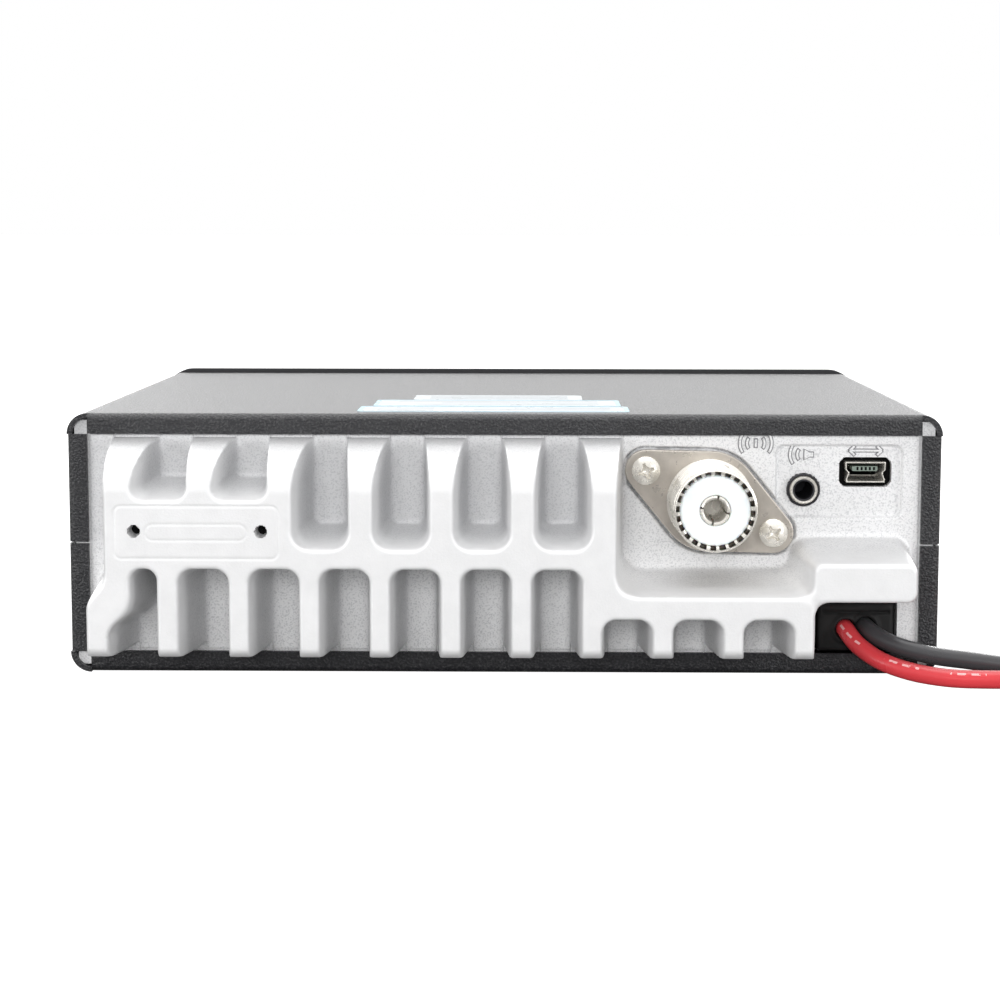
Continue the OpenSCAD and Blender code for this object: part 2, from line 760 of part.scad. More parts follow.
module volume_knob() color(plastic_black) difference() {
    rod_y(volume_x, volume_z, 6.5, front_y - 13.5, front_y - 6);
    rod_y(volume_x, volume_z, 1.75, front_y - 11, front_y - 5);
    span([volume_x - 0.5, front_y - 14, volume_z + 2], [volume_x + 0.5, front_y - 13, volume_z + 7]);
}

// ---------- push buttons ----------
module key_cap(x) {
    w = button_size[0] / 2;
    h = button_size[1] / 2;
    round_bar(x - w, x + w, button_z - h, button_z + h, 1, front_y - 1.5, wall_y + gap + eps);
    span([x - w - 0.9, wall_y + gap, button_z - h - 0.9], [x + w + 0.9, wall_y + gap + 0.9, button_z + h + 0.9]);
    rod_y(x, button_z, 1.4, wall_y + gap + 0.8, board_y - 4.4 - travel - 0.15);
}

module button_1() color(plastic_black) key_cap(button_x[0]);
module button_2() color(plastic_black) key_cap(button_x[1]);
module button_3() color(plastic_black) key_cap(button_x[2]);
module button_4() color(plastic_black) key_cap(button_x[3]);
module button_5() color(plastic_black) key_cap(button_x[4]);
module button_6() color(plastic_black) key_cap(button_x[5]);

module power_button() color(plastic_black) {
    rod_y(power_at[0], power_at[1], power_r, front_y - 1.5, wall_y + gap + eps);
    rod_y(power_at[0], power_at[1], power_r + 0.9, wall_y + gap, wall_y + gap + 0.9);
    rod_y(power_at[0], power_at[1], 1.4, wall_y + gap + 0.8, board_y - 4.4 - travel - 0.15);
}

// ---------- inside ----------
module ribbon() color([0.85, 0.82, 0.7])
    prism_x([
        [board_back, 33], [-72, 33], [-58, pcb_top + 0.8], [-50, pcb_top + 0.8], [-50, pcb_top],
        [-58.4, pcb_top], [-72.4, 32.2], [board_back, 32.2]
    ], -15, 15);

module main_board() color(board_green) difference() {
    span([-77, -56, pcb_z], [77, 53, pcb_top]);
    for (p = pcb_screws_at)
        translate([p[0], p[1], pcb_z - 1]) cylinder(r = 1.6, h = 4);
}

module shield_can() color(steel)
    span([-30, -38, pcb_top], [18, -4, pcb_top + 12]);

// Coils, capacitors, relay and chips on the main board, each its own solid.
module board_parts() color([0.2, 0.2, 0.24]) {
    for (p = [[34, -40], [48, -40], [60, 20]])
        translate([p[0], p[1], pcb_top]) cylinder(r = 5, h = 15);
    for (p = [[-12, 12], [2, 12], [16, 12], [30, 12]])
        translate([p[0], p[1], pcb_top + 5]) rotate([0, 90, 0]) rotate_extrude()
            translate([3.6, 0]) circle(r = 1.4, $fn = 24);
    for (p = [[-12, 12], [2, 12], [16, 12], [30, 12]])
        span([p[0] - 2, p[1] - 2, pcb_top], [p[0] + 2, p[1] + 2, pcb_top + 0.2]);
    span([-62, 2, pcb_top], [-44, 16, pcb_top + 14]);
    span([30, -24, pcb_top], [46, -8, pcb_top + 1.6]);
    span([-58, -34, pcb_top], [-44, -20, pcb_top + 1.6]);
    span([54, -12, pcb_top], [66, 4, pcb_top + 4]);
}

module power_transistors() color(plastic_black)
    for (x = [-18, 6, 30])
        span([x - 5, 54.3, 27], [x + 5, plate_y - 0.3, 42.5]);

module thermal_pads() color([0.7, 0.72, 0.74])
    for (x = [-18, 6, 30])
        span([x - 6, plate_y - 0.3, 26], [x + 6, plate_y, 43.5]);

module transistor_clamp() color(steel)
    span([-25, 52.8, 32], [37, 54.3, 40]);

module speaker_frame() color(steel) difference() {
    union() {
        translate([0, speaker_y, 1.5]) cylinder(r = speaker_r, h = 1.5);
        translate([0, speaker_y, 3 - eps]) cylinder(r1 = speaker_r - 3, r2 = 16, h = 8);
    }
    translate([0, speaker_y, 1]) cylinder(r = speaker_r - 4, h = 2.01);
    translate([0, speaker_y, 3 - 2 * eps]) cylinder(r1 = speaker_r - 4, r2 = 15, h = 7);
    translate([0, speaker_y, 9]) cylinder(r = 8, h = 4);
}

module speaker_magnet() color([0.25, 0.25, 0.27])
    translate([0, speaker_y, 11]) cylinder(r = 19, h = 7);

module speaker_cone() color([0.12, 0.12, 0.12]) difference() {
    translate([0, speaker_y, 2.2]) cylinder(r1 = speaker_r - 5.3, r2 = 7.6, h = 7.4);
    translate([0, speaker_y, 2.2 - eps]) cylinder(r1 = speaker_r - 6.3, r2 = 6.2, h = 6.6);
}

module speaker_cloth() color(rubber_black)
    translate([0, speaker_y, sheet]) cylinder(r = 30, h = 0.4);

// ---------- assembly ----------
rear_heatsink();
chassis_frame();
top_cover();
bottom_cover();
cover_screws();
bracket_nuts();
rear_labels();
antenna_body();
antenna_insulator();
antenna_contact();
antenna_screws();
speaker_jack();
data_shell();
data_tongue();
port_board();
grommet();
dc_terminal();
red_lead();
black_lead();
dc_plug();
dc_contacts();
front_panel();
panel_screws();
display_lens();
lcd_glass();
light_guide();
lcd_holder();
front_board();
board_screws();
button_switches();
mic_shell();
mic_insert();
mic_pins();
mic_nut();
encoder();
channel_shaft();
channel_knob();
control_pot();
squelch_shaft();
squelch_knob();
volume_shaft();
volume_knob();
button_1();
button_2();
button_3();
button_4();
button_5();
button_6();
power_button();
ribbon();
main_board();
shield_can();
board_parts();
power_transistors();
transistor_clamp();
thermal_pads();
speaker_frame();
speaker_magnet();
speaker_cone();
speaker_cloth();
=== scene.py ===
"""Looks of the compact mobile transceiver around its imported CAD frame. Metres; the CAD's own axes."""

import json
import math

import bmesh
import bpy
import numpy as np
from mathutils import Matrix, Vector
from mathutils.geometry import delaunay_2d_cdt

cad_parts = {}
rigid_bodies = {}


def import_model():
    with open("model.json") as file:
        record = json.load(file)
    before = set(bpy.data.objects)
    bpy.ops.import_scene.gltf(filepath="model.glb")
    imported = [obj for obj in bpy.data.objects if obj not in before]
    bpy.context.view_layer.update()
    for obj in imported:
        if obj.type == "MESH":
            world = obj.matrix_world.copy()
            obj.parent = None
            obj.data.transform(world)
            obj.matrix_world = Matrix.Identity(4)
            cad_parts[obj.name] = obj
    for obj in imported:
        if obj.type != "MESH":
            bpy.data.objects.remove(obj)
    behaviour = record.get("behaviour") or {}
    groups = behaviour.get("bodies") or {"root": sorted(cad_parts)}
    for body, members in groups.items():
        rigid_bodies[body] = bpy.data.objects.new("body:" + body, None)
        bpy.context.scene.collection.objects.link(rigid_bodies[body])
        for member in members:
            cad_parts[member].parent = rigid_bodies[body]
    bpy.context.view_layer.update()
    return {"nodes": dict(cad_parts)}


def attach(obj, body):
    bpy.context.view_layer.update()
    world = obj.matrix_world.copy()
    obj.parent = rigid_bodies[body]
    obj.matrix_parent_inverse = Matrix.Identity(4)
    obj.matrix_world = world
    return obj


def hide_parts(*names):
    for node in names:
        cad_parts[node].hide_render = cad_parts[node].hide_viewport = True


MM = 0.001
for left_over in list(bpy.data.objects):
    bpy.data.objects.remove(left_over)
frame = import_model()
nodes = frame["nodes"]
scene = bpy.context.scene

# ---------- sizes shared with the CAD, in millimetres ----------
BASE_Y = 62.0  # plane that the fins stand on
PLATE_Y = 59.0  # inner side of the casting's plate
FACE_H = 24.5  # height of the fins over the base plane
DRAFT = 1.85  # how far a fin's side spreads from end to foot
FRONT_Y = -88.0  # face of the front panel
WALL_Y = -85.5  # inner side of its wall
TOP_Z = 51.0
LEAD_D = 3.5
ANTENNA = (-40.0, 34.1)
JACK = (-58.4, 36.2)
PORT = (-70.4, 39.7)
MIC = (-70.0, 15.5)
CHANNEL = (57.0, 29.0)
VOLUME = (-70.0, 38.3)
FLANGE_TURN = math.radians(26)
SCREW_AT = 13.8  # antenna screws, from the socket's middle
PIN_XS, PIN_Z = (44.6, 68.2), 31  # pin holes in the name panel
RADIO = "radio"

# ---------- camera ----------
CAMERA_AT = (-5.603, 509.616, 87.137)
YAW, PITCH, ROLL = -0.01409, 0.11783, 0.00128
LENS, SENSOR_WIDTH = 83.25, 36


def make_camera():
    forward = Vector((-math.sin(YAW) * math.cos(PITCH), -math.cos(YAW) * math.cos(PITCH), -math.sin(PITCH)))
    right = Vector((-math.cos(YAW), math.sin(YAW), 0))
    up = right.cross(forward)
    side = right * math.cos(ROLL) + up * math.sin(ROLL)
    top = up * math.cos(ROLL) - right * math.sin(ROLL)
    data = bpy.data.cameras.new("camera")
    data.lens, data.sensor_width = LENS, SENSOR_WIDTH
    data.clip_start, data.clip_end = 0.05, 50
    cam = bpy.data.objects.new("camera", data)
    scene.collection.objects.link(cam)
    turn = Matrix((side, top, -forward)).transposed().to_4x4()
    cam.matrix_world = Matrix.Translation(Vector(CAMERA_AT) * MM) @ turn
    scene.camera = cam


make_camera()


# ---------- materials ----------
def shader_node(tree, kind, inputs, **settings):
    """A shader node: its own settings, and its inputs as numbers, colours or outputs of other nodes."""
    node = tree.nodes.new("ShaderNode" + kind)
    for key, value in settings.items():
        setattr(node, key, value)
    for key, value in inputs.items():
        if isinstance(value, bpy.types.NodeSocket):
            tree.links.new(value, node.inputs[key])
        else:
            node.inputs[key].default_value = value
    return node


def maths(tree, kind, a, b):
    return shader_node(tree, "Math", {0: a, 1: b}, operation=kind).outputs[0]


def spread(tree, value, start, end, low, upper_shade):
    """Takes start..end to low..high, and holds it there beyond them."""
    inputs = {"Value": value, "From Min": start, "From Max": end, "To Min": low, "To Max": upper_shade}
    return shader_node(tree, "MapRange", inputs).outputs[0]


class Finish:
    """A Principled material with layered grain: varied colour and roughness, and relief in millimetres."""

    def __init__(self, name, colour, rough, metal=0.0, vary=0.06, vary_scale=60, spec=0.5, **sockets):
        self.mat = bpy.data.materials.new(name)
        self.mat.use_nodes = True
        self.tree = self.mat.node_tree
        self.bsdf = self.tree.nodes["Principled BSDF"]
        for key, value in {"Metallic": metal, "Specular_IOR_Level": spec, **sockets}.items():
            self.bsdf.inputs[key.replace("_", " ")].default_value = value
        self.coords = self.node("TexCoord", {}).outputs["Object"]
        self.height = None
        dark = [c * (1 - vary) for c in colour]
        light = [min(1.0, c * (1 + vary)) for c in colour]
        self.colour_out = self.ramp(self.noise(vary_scale, 4, 0.6), 0.3, 0.7, dark, light)
        wear = spread(self.tree, self.noise(vary_scale * 1.7, 3, 0.55), 0.3, 0.7, *rough)
        self.tree.links.new(wear, self.bsdf.inputs["Roughness"])

    def node(self, kind, inputs, **settings):
        return shader_node(self.tree, kind, inputs, **settings)

    def math(self, kind, a, b):
        return maths(self.tree, kind, a, b)

    def times(self, a, b):
        return maths(self.tree, "MULTIPLY", a, b)

    def noise(self, scale, detail=3, rough=0.5, stretch=None):
        vector = self.coords
        if stretch:
            vector = self.node("Mapping", {"Scale": stretch, "Vector": vector}).outputs[0]
        inputs = {"Vector": vector, "Scale": scale, "Detail": detail, "Roughness": rough}
        return self.node("TexNoise", inputs).outputs["Fac"]

    def ramp(self, value, start, end, low=(0, 0, 0), upper_shade=(1, 1, 1)):
        """A colour from low at start to high at end. Black to white makes a mask."""
        node = self.node("ValToRGB", {0: value})
        for element, at, colour in zip(node.color_ramp.elements, (start, end), (low, upper_shade)):
            element.position = at
            element.color = (*colour, 1)
        return node.outputs[0]

    def over(self, mask, colour):
        """Lays a colour over what is there, by a 0..1 mask."""
        inputs = {"Factor": mask, "A": self.colour_out, "B": (*colour, 1)}
        self.colour_out = self.node("Mix", inputs, data_type="RGBA").outputs["Result"]

    def grain(self, value, height):
        """Adds relief of that height in millimetres."""
        layer = self.times(value, height)
        self.height = layer if self.height is None else self.math("ADD", self.height, layer)

    def done(self):
        bump = self.node("Bump", {"Distance": MM, "Strength": 1, "Height": self.height})
        self.tree.links.new(bump.outputs[0], self.bsdf.inputs["Normal"])
        self.tree.links.new(self.colour_out, self.bsdf.inputs["Base Color"])
        return self.mat


def powder_coat():
    f = Finish("powder_coat", (0.016, 0.016, 0.018), (0.33, 0.42), vary=0.12, vary_scale=900, spec=0.55)
    stipple = f.noise(2300, 2, 0.5)
    f.over(f.ramp(stipple, 0.5, 0.66), (0.044, 0.044, 0.046))
    f.grain(stipple, 0.3)
    cells = f.node("TexVoronoi", {"Vector": f.coords, "Scale": 1700}, feature="SMOOTH_F1")
    f.grain(cells.outputs["Distance"], 0.05)
    return f.done()


def cast_paint():
    """Silver paint: plain on the fin ends, peppery in the pockets, with painted shade darkening the pockets of
    the upper fins.
    """
    f = Finish("cast_paint", (0.765, 0.765, 0.77), (0.42, 0.52), metal=0.2, vary=0.03, vary_scale=240)
    place = f.node("SeparateXYZ", {0: f.coords}).outputs
    deep = spread(f.tree, place["Y"], (BASE_Y + 20) * MM, (BASE_Y + 8) * MM, 0, 1)
    finned = spread(f.tree, place["X"], -26 * MM, -20 * MM, 0.15, 1)
    upper_shade = spread(f.tree, place["Z"], 23 * MM, 28 * MM, 0, 0.26)
    # painted shade: a dark grey over the deep parts of the upper fins' pockets, fainter away from the fins
    f.over(f.times(deep, f.times(finned, upper_shade)), (0.3, 0.305, 0.32))
    # pepper: cast speckle that is laid only on the deep parts, so partly painted shade
    pepper_and_shade = f.ramp(f.noise(2900, 2, 0.5), 0.5, 0.64)
    f.over(f.times(pepper_and_shade, f.times(deep, 0.5)), (0.4, 0.405, 0.42))
    f.grain(f.times(f.noise(2900, 2, 0.5), deep), 0.08)
    f.grain(f.noise(2600, 3, 0.6), 0.05)
    f.grain(f.noise(500, 2, 0.5), 0.03)
    return f.done()


def plain_cast():
    f = Finish("plain_cast", (0.66, 0.665, 0.67), (0.42, 0.55), metal=0.8, vary_scale=180)
    f.grain(f.noise(1200, 4, 0.6), 0.06)
    return f.done()


def plated(name, colour, rough, vary=0.06, stretch=(1, 14, 1), scale=700, height=0.004, metal=1.0):
    f = Finish(name, colour, rough, metal=metal, vary=vary, vary_scale=300)
    f.grain(f.noise(scale, 3, 0.6, stretch), height)
    f.grain(f.noise(90, 2, 0.5), 0.02)
    return f.done()


def plastic(name, colour, rough, height=0.02, scale=1600, spec=0.45, **sockets):
    f = Finish(name, colour, rough, vary=0.08, vary_scale=120, spec=spec, **sockets)
    f.grain(f.noise(scale, 3, 0.5), height)
    return f.done()


def board_mask():
    f = Finish("board_mask", (0.012, 0.085, 0.038), (0.3, 0.42), vary=0.25, vary_scale=420)
    tracks = f.ramp(f.noise(260, 1, 0.2, (1, 3, 1)), 0.49, 0.52)
    f.over(f.times(tracks, 0.45), (0.03, 0.17, 0.075))
    f.grain(tracks, 0.02)
    return f.done()


def lead_skin(name, colour, print_colour=None):
    """Glossy insulation, with a broken line of dashes along it where print_colour is given."""
    f = Finish(name, colour, (0.26, 0.34), vary=0.05, vary_scale=90)
    f.grain(f.noise(260, 2, 0.4), 0.03)
    f.grain(f.noise(1700, 2, 0.4), 0.006)
    if print_colour:
        along, around = [f.node("Attribute", {}, attribute_name=layer).outputs["Fac"]
                         for layer in ("along", "around")]
        dash, group = [f.math("LESS_THAN", f.math("FRACT", f.times(along, 1 / pitch), 0), part)
                       for pitch, part in ((0.0026, 0.62), (0.0125, 0.55))]
        band = f.math("LESS_THAN", f.math("ABSOLUTE", around, 0), 0.022)
        ragged = f.math("GREATER_THAN", f.noise(1400, 2, 0.6), 0.36)
        f.over(f.times(f.times(dash, group), f.times(band, ragged)), print_colour)
    return f.done()


def label_film():
    f = Finish("label_film", (0.5, 0.54, 0.57), (0.25, 0.35), vary=0.03, vary_scale=80, spec=0.3)
    f.grain(f.noise(900, 2, 0.5), 0.01)
    return f.done()


def smoked_glass():
    f = Finish("smoked_glass", (0.02, 0.022, 0.025), (0.05, 0.09), vary=0.05, vary_scale=30, spec=0.6,
               Coat_Weight=0.6, Coat_Roughness=0.04)
    f.grain(f.noise(40, 1, 0.3), 0.01)
    return f.done()


def cloth(name, colour):
    f = Finish(name, colour, (0.8, 0.95), vary=0.2, vary_scale=900, spec=0.2)
    warp, weft = [f.node("TexWave", {"Scale": 900, "Vector": f.coords}, bands_direction=way).outputs["Fac"]
                  for way in ("X", "Y")]
    f.grain(f.math("MAXIMUM", warp, weft), 0.12)
    return f.done()


M = {
    "cover_black": powder_coat(),
    "cast_silver": cast_paint(),
    "plain_cast": plain_cast(),
    # painted shadow round the raised marks
    "painted_shadow_line": plastic("painted_shadow_line", (0.2, 0.2, 0.21), (0.5, 0.6), height=0.02),
    "nickel": plated("nickel_plate", (0.8, 0.77, 0.71), (0.22, 0.32), metal=0.6),
    "nickel_dull": plated("nickel_turned", (0.52, 0.48, 0.43), (0.26, 0.36), vary=0.12, stretch=(9, 1, 2),
                          scale=420, height=0.012, metal=0.5),
    # darker nickel for the notches of the antenna rim's teeth: painted shade
    "nickel_painted_shade": plated("nickel_shaded", (0.2, 0.18, 0.16), (0.35, 0.45)),
    "zinc_steel": plated("zinc_plate", (0.66, 0.66, 0.64), (0.26, 0.38)),
    "panel_black": plastic("panel_plastic", (0.022, 0.022, 0.024), (0.38, 0.48), height=0.03, scale=1300),
    "key_black": plastic("key_plastic", (0.045, 0.045, 0.048), (0.42, 0.52), height=0.015),
    "rubber_black": plastic("rubber", (0.014, 0.014, 0.014), (0.6, 0.75), height=0.04, scale=1100, spec=0.3),
    "lens_smoke": smoked_glass(),
    "lcd_grey": plastic("lcd_film", (0.19, 0.23, 0.2), (0.18, 0.26), height=0.004),
    "white_plastic": plastic("nylon_white", (0.78, 0.77, 0.74), (0.36, 0.46), height=0.02),
    "ptfe": plastic("ptfe", (0.9, 0.9, 0.89), (0.3, 0.4), height=0.006, spec=0.35, Subsurface_Weight=0.15),
    "gold_contact": plated("gold_plate", (0.83, 0.62, 0.26), (0.2, 0.3)),
    "board_green": board_mask(),
    "part_dark": plastic("part_moulding", (0.02, 0.02, 0.024), (0.4, 0.6), height=0.02),
    "pad_grey": plastic("thermal_pad", (0.36, 0.38, 0.4), (0.6, 0.75), height=0.04, scale=900, spec=0.3),
    "magnet_grey": plastic("ferrite", (0.05, 0.05, 0.055), (0.5, 0.65), height=0.04, scale=700),
    "paper_black": cloth("cone_paper", (0.02, 0.02, 0.022)),
    "cloth_black": cloth("speaker_cloth_weave", (0.012, 0.012, 0.013)),
    "lead_red": lead_skin("lead_red", (0.61, 0.045, 0.055), (0.80, 0.42, 0.42)),
    "lead_black": lead_skin("lead_black", (0.045, 0.045, 0.048)),
    "film_tan": plastic("polyimide_film", (0.42, 0.2, 0.05), (0.2, 0.3), height=0.01),
    "label_white": label_film(),
    "label_blue": plastic("label_ink_blue", (0.30, 0.55, 0.66), (0.25, 0.35), height=0.005),
    "label_grey": plastic("label_ink_grey", (0.42, 0.45, 0.47), (0.28, 0.36), height=0.005),
    # near black for the insides of holes and of the data port: painted shade
    "dark_hole": plastic("dark_hole", (0.004, 0.004, 0.004), (0.7, 0.9), height=0.01, spec=0.1),
}


# ---------- mesh helpers, in millimetres ----------
def add(name, verts, faces, mats, slot=None, node=None, body=RADIO, smooth=None, merge=True, index=None):
    """A piece from millimetre points. smooth is the angle under which edges shade smooth, or None for flat.
    index gives each face's place in mats, else all are mats[0]. merge joins points that coincide. slot is not
    used."""
    mesh = bpy.data.meshes.new(name)
    mesh.from_pydata((np.asarray(verts, float) * MM).tolist(), [], [list(f) for f in faces])
    for key in mats:
        mesh.materials.append(M[key])
    if index is not None:
        mesh.polygons.foreach_set("material_index", np.asarray(index, np.int32))
    bm = bmesh.new()
    bm.from_mesh(mesh)
    if merge:
        bmesh.ops.remove_doubles(bm, verts=bm.verts, dist=1e-7)
    bmesh.ops.recalc_face_normals(bm, faces=bm.faces)
    bm.to_mesh(mesh)
    bm.free()
    if smooth is not None:
        mesh.shade_smooth()
        mesh.set_sharp_from_angle(angle=math.radians(smooth))
    obj = bpy.data.objects.new(name, mesh)
    scene.collection.objects.link(obj)
    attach(obj, body)
    if node:
        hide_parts(node)
    return obj


def soften(obj, width, segments=2, angle=32):
    """Rounded edges on a made piece, with the flat faces kept flat."""
    bevel = obj.modifiers.new("edge", "BEVEL")
    bevel.width = width * MM
    bevel.segments = segments
    bevel.limit_method = "ANGLE"
    bevel.angle_limit = math.radians(angle)
    obj.data.shade_smooth()
    normal = obj.modifiers.new("normals", "WEIGHTED_NORMAL")
    normal.keep_sharp = False
    normal.weight = 80
    return obj


def dress(name, key, width=0.15, segments=2, angle=32):
    """A carried-over CAD node: its material, and rounded edges by modifiers."""
    obj = nodes[name]
    obj.data.materials.clear()
    obj.data.materials.append(M[key])
    obj.data.shade_smooth()
    weld = obj.modifiers.new("weld", "WELD")
    weld.merge_threshold = 2e-6
    flat = obj.modifiers.new("flat", "DECIMATE")
    flat.decimate_type = "DISSOLVE"
    flat.angle_limit = math.radians(0.6)
    soften(obj, width, segments, angle)


def ring_faces(rows, segs, base=0, closed=False):
    """Quads between rows of segs points each, all the way round. closed joins the last row to the first."""
    pairs = [(i, i + 1) for i in range(rows - 1)] + ([(rows - 1, 0)] if closed else [])
    return [(base + i * segs + k, base + i * segs + (k + 1) % segs,
             base + j * segs + (k + 1) % segs, base + j * segs + k) for i, j in pairs for k in range(segs)]


def around_y(x, z, profile, segs, shape=None, closed=False):
    """Turned piece about an axis along Y, from [(radius, y)]. shape(row, radius, y, angle) changes the two."""
    verts = []
    for i, (r, y) in enumerate(profile):
        for k in range(segs):
            a = 2 * math.pi * k / segs
            rr, yy = shape(i, r, y, a) if shape else (r, y)
            verts.append((x + rr * math.cos(a), yy, z + rr * math.sin(a)))
    return verts, ring_faces(len(profile), segs, closed=closed)


def thread_cut(y, a, pitch, depth):
    """How far a thread is cut in from its crest at this height and angle."""
    phase = ((y - a / (2 * math.pi) * pitch) / pitch) % 1
    return depth * (1 - abs(2 * phase - 1)) ** 0.8


def arc(cx, cy, r, a0, a1, n):
    return [(cx + r * math.cos(math.radians(a0 + (a1 - a0) * i / n)),
             cy + r * math.sin(math.radians(a0 + (a1 - a0) * i / n))) for i in range(n + 1)]


def round_rect(x0, x1, z0, z1, r, n=6):
    return (arc(x1 - r, z1 - r, r, 0, 90, n) + arc(x0 + r, z1 - r, r, 90, 180, n)
            + arc(x0 + r, z0 + r, r, 180, 270, n) + arc(x1 - r, z0 + r, r, 270, 360, n))


def plate_y(outline, y0, y1):
    """Solid from an [x, z] outline, y0 to y1."""
    n = len(outline)
    verts = [(p[0], y, p[1]) for y in (y0, y1) for p in outline]
    return verts, [list(range(n)), list(range(2 * n - 1, n - 1, -1))] + ring_faces(2, n)


def plate_z(outline, z0, z1):
    """Solid from an [x, y] outline, z0 to z1."""
    verts, faces = plate_y(outline, z0, z1)
    return [(x, y, z) for x, z, y in verts], faces


def merged(parts):
    """Several (verts, faces) in one, and which part each face is from."""
    verts, faces, index = [], [], []
    for i, (v, f) in enumerate(parts):
        base = len(verts)
        verts += list(v)
        faces += [[k + base for k in face] for face in f]
        index += [i] * len(f)
    return verts, faces, index


# ---------- power leads ----------
COIL_AT = (-126.0, 52.0)
COIL_LOW, COIL_HIGH = 1.75, 5.35
LEAD_SIDES = 20
PRINT_AT = 0.12  # place of the printed line, as part of a turn
RED_OUT = [
    (-67, 50, 8.9), (-67, 57, 8.9), (-67, 63, 8.8), (-68.6, 67.2, 6.8), (-72.4, 70.8, 4.4),
    (-77.6, 73.4, 2.8), (-84.5, 75.4, 1.9), (-92, 76.2, 1.75), (-100, 75.8, 1.75), (-108, 74.8, 1.75),
    (-117, 73.6, 1.75),
]
BLACK_OUT = [
    (-70.8, 50, 9.4), (-70.8, 57, 9.4), (-70.8, 62.5, 9.4), (-72, 66.3, 8.6), (-75.6, 68.8, 7),
    (-82.5, 69.6, 5.2), (-90, 69.2, 4.1), (-97, 68.5, 3.1), (-104, 67.9, 2.2), (-111, 67.9, 1.8),
    (-119, 68.8, 1.75),
]
PLUG_X, PLUG_Y, PLUG_Z = -145.1, 28.0, 4.2


def smooth_step(t):
    t = np.clip(t, 0, 1)
    return t * t * (3 - 2 * t)


def lead_route(out, r):
    """The lead's way out, 1 1/4 turns of coil that climb over each other, and the way to the connector."""
    turns = [
        (COIL_AT[0] - r * math.sin(math.radians(a)), COIL_AT[1] + r * math.cos(math.radians(a)),
         COIL_LOW + (COIL_HIGH - COIL_LOW) * float(smooth_step((a - 190) / 120)))
        for a in range(0, 441, 20)
    ]
    x = COIL_AT[0] - r
    end = [(x, COIL_AT[1] - 2, COIL_HIGH), (x, COIL_AT[1] - 9, COIL_HIGH), (x, COIL_AT[1] - 15, 5.1),
           (PLUG_X + (1.9 if r < 19 else -1.9), PLUG_Y, PLUG_Z)]
    return np.array(out + turns + end, float)


def through(points, per=6):
    """Centripetal Catmull-Rom curve through the points."""
    p = np.vstack([2 * points[0] - points[1], points, 2 * points[-1] - points[-2]])
    out = []
    for i in range(1, len(p) - 2):
        a, b, c, d = p[i - 1:i + 3]
        t = np.cumsum([0.0] + [np.linalg.norm(v) ** 0.5 for v in (b - a, c - b, d - c)])
        for s in np.linspace(t[1], t[2], per, endpoint=False):
            def between(from_point, to_point, i, j):
                return from_point * (t[j] - s) / (t[j] - t[i]) + to_point * (s - t[i]) / (t[j] - t[i])

            a1, a2, a3 = between(a, b, 0, 1), between(b, c, 1, 2), between(c, d, 2, 3)
            out.append(between(between(a1, a2, 0, 2), between(a2, a3, 1, 3), 1, 2))
    out.append(points[-1])
    return np.array(out)


def make_lead(name, out, coil_r, key, node):
    path = through(lead_route(out, coil_r))
    rows = len(path)
    tangent = np.gradient(path, axis=0)
    tangent /= np.linalg.norm(tangent, axis=1)[:, None]
    side = np.cross(tangent, (0, 0, 1.0))
    side /= np.linalg.norm(side, axis=1)[:, None]
    up = np.cross(side, tangent)
    far = np.concatenate([[0], np.cumsum(np.linalg.norm(np.diff(path, axis=0), axis=1))])
    turn = (np.arange(LEAD_SIDES) + 0.5) / LEAD_SIDES
    angles = 2 * math.pi * turn
    ring = side[:, None, :] * np.cos(angles)[None, :, None] + up[:, None, :] * np.sin(angles)[None, :, None]
    verts = (path[:, None, :] + ring * LEAD_D / 2).reshape(-1, 3)
    ends = [list(range(LEAD_SIDES)), [(rows - 1) * LEAD_SIDES + k for k in range(LEAD_SIDES)]]
    lead = add(name, verts, ring_faces(rows, LEAD_SIDES) + ends, [key], node=node, smooth=50, merge=False)
    around = (turn - PRINT_AT + 0.5) % 1 - 0.5
    for kind, values in (("along", np.repeat(far * MM, LEAD_SIDES)), ("around", np.tile(around, rows))):
        layer = lead.data.attributes.new(kind, "FLOAT", "POINT")
        layer.data.foreach_set("value", values.astype(np.float32))


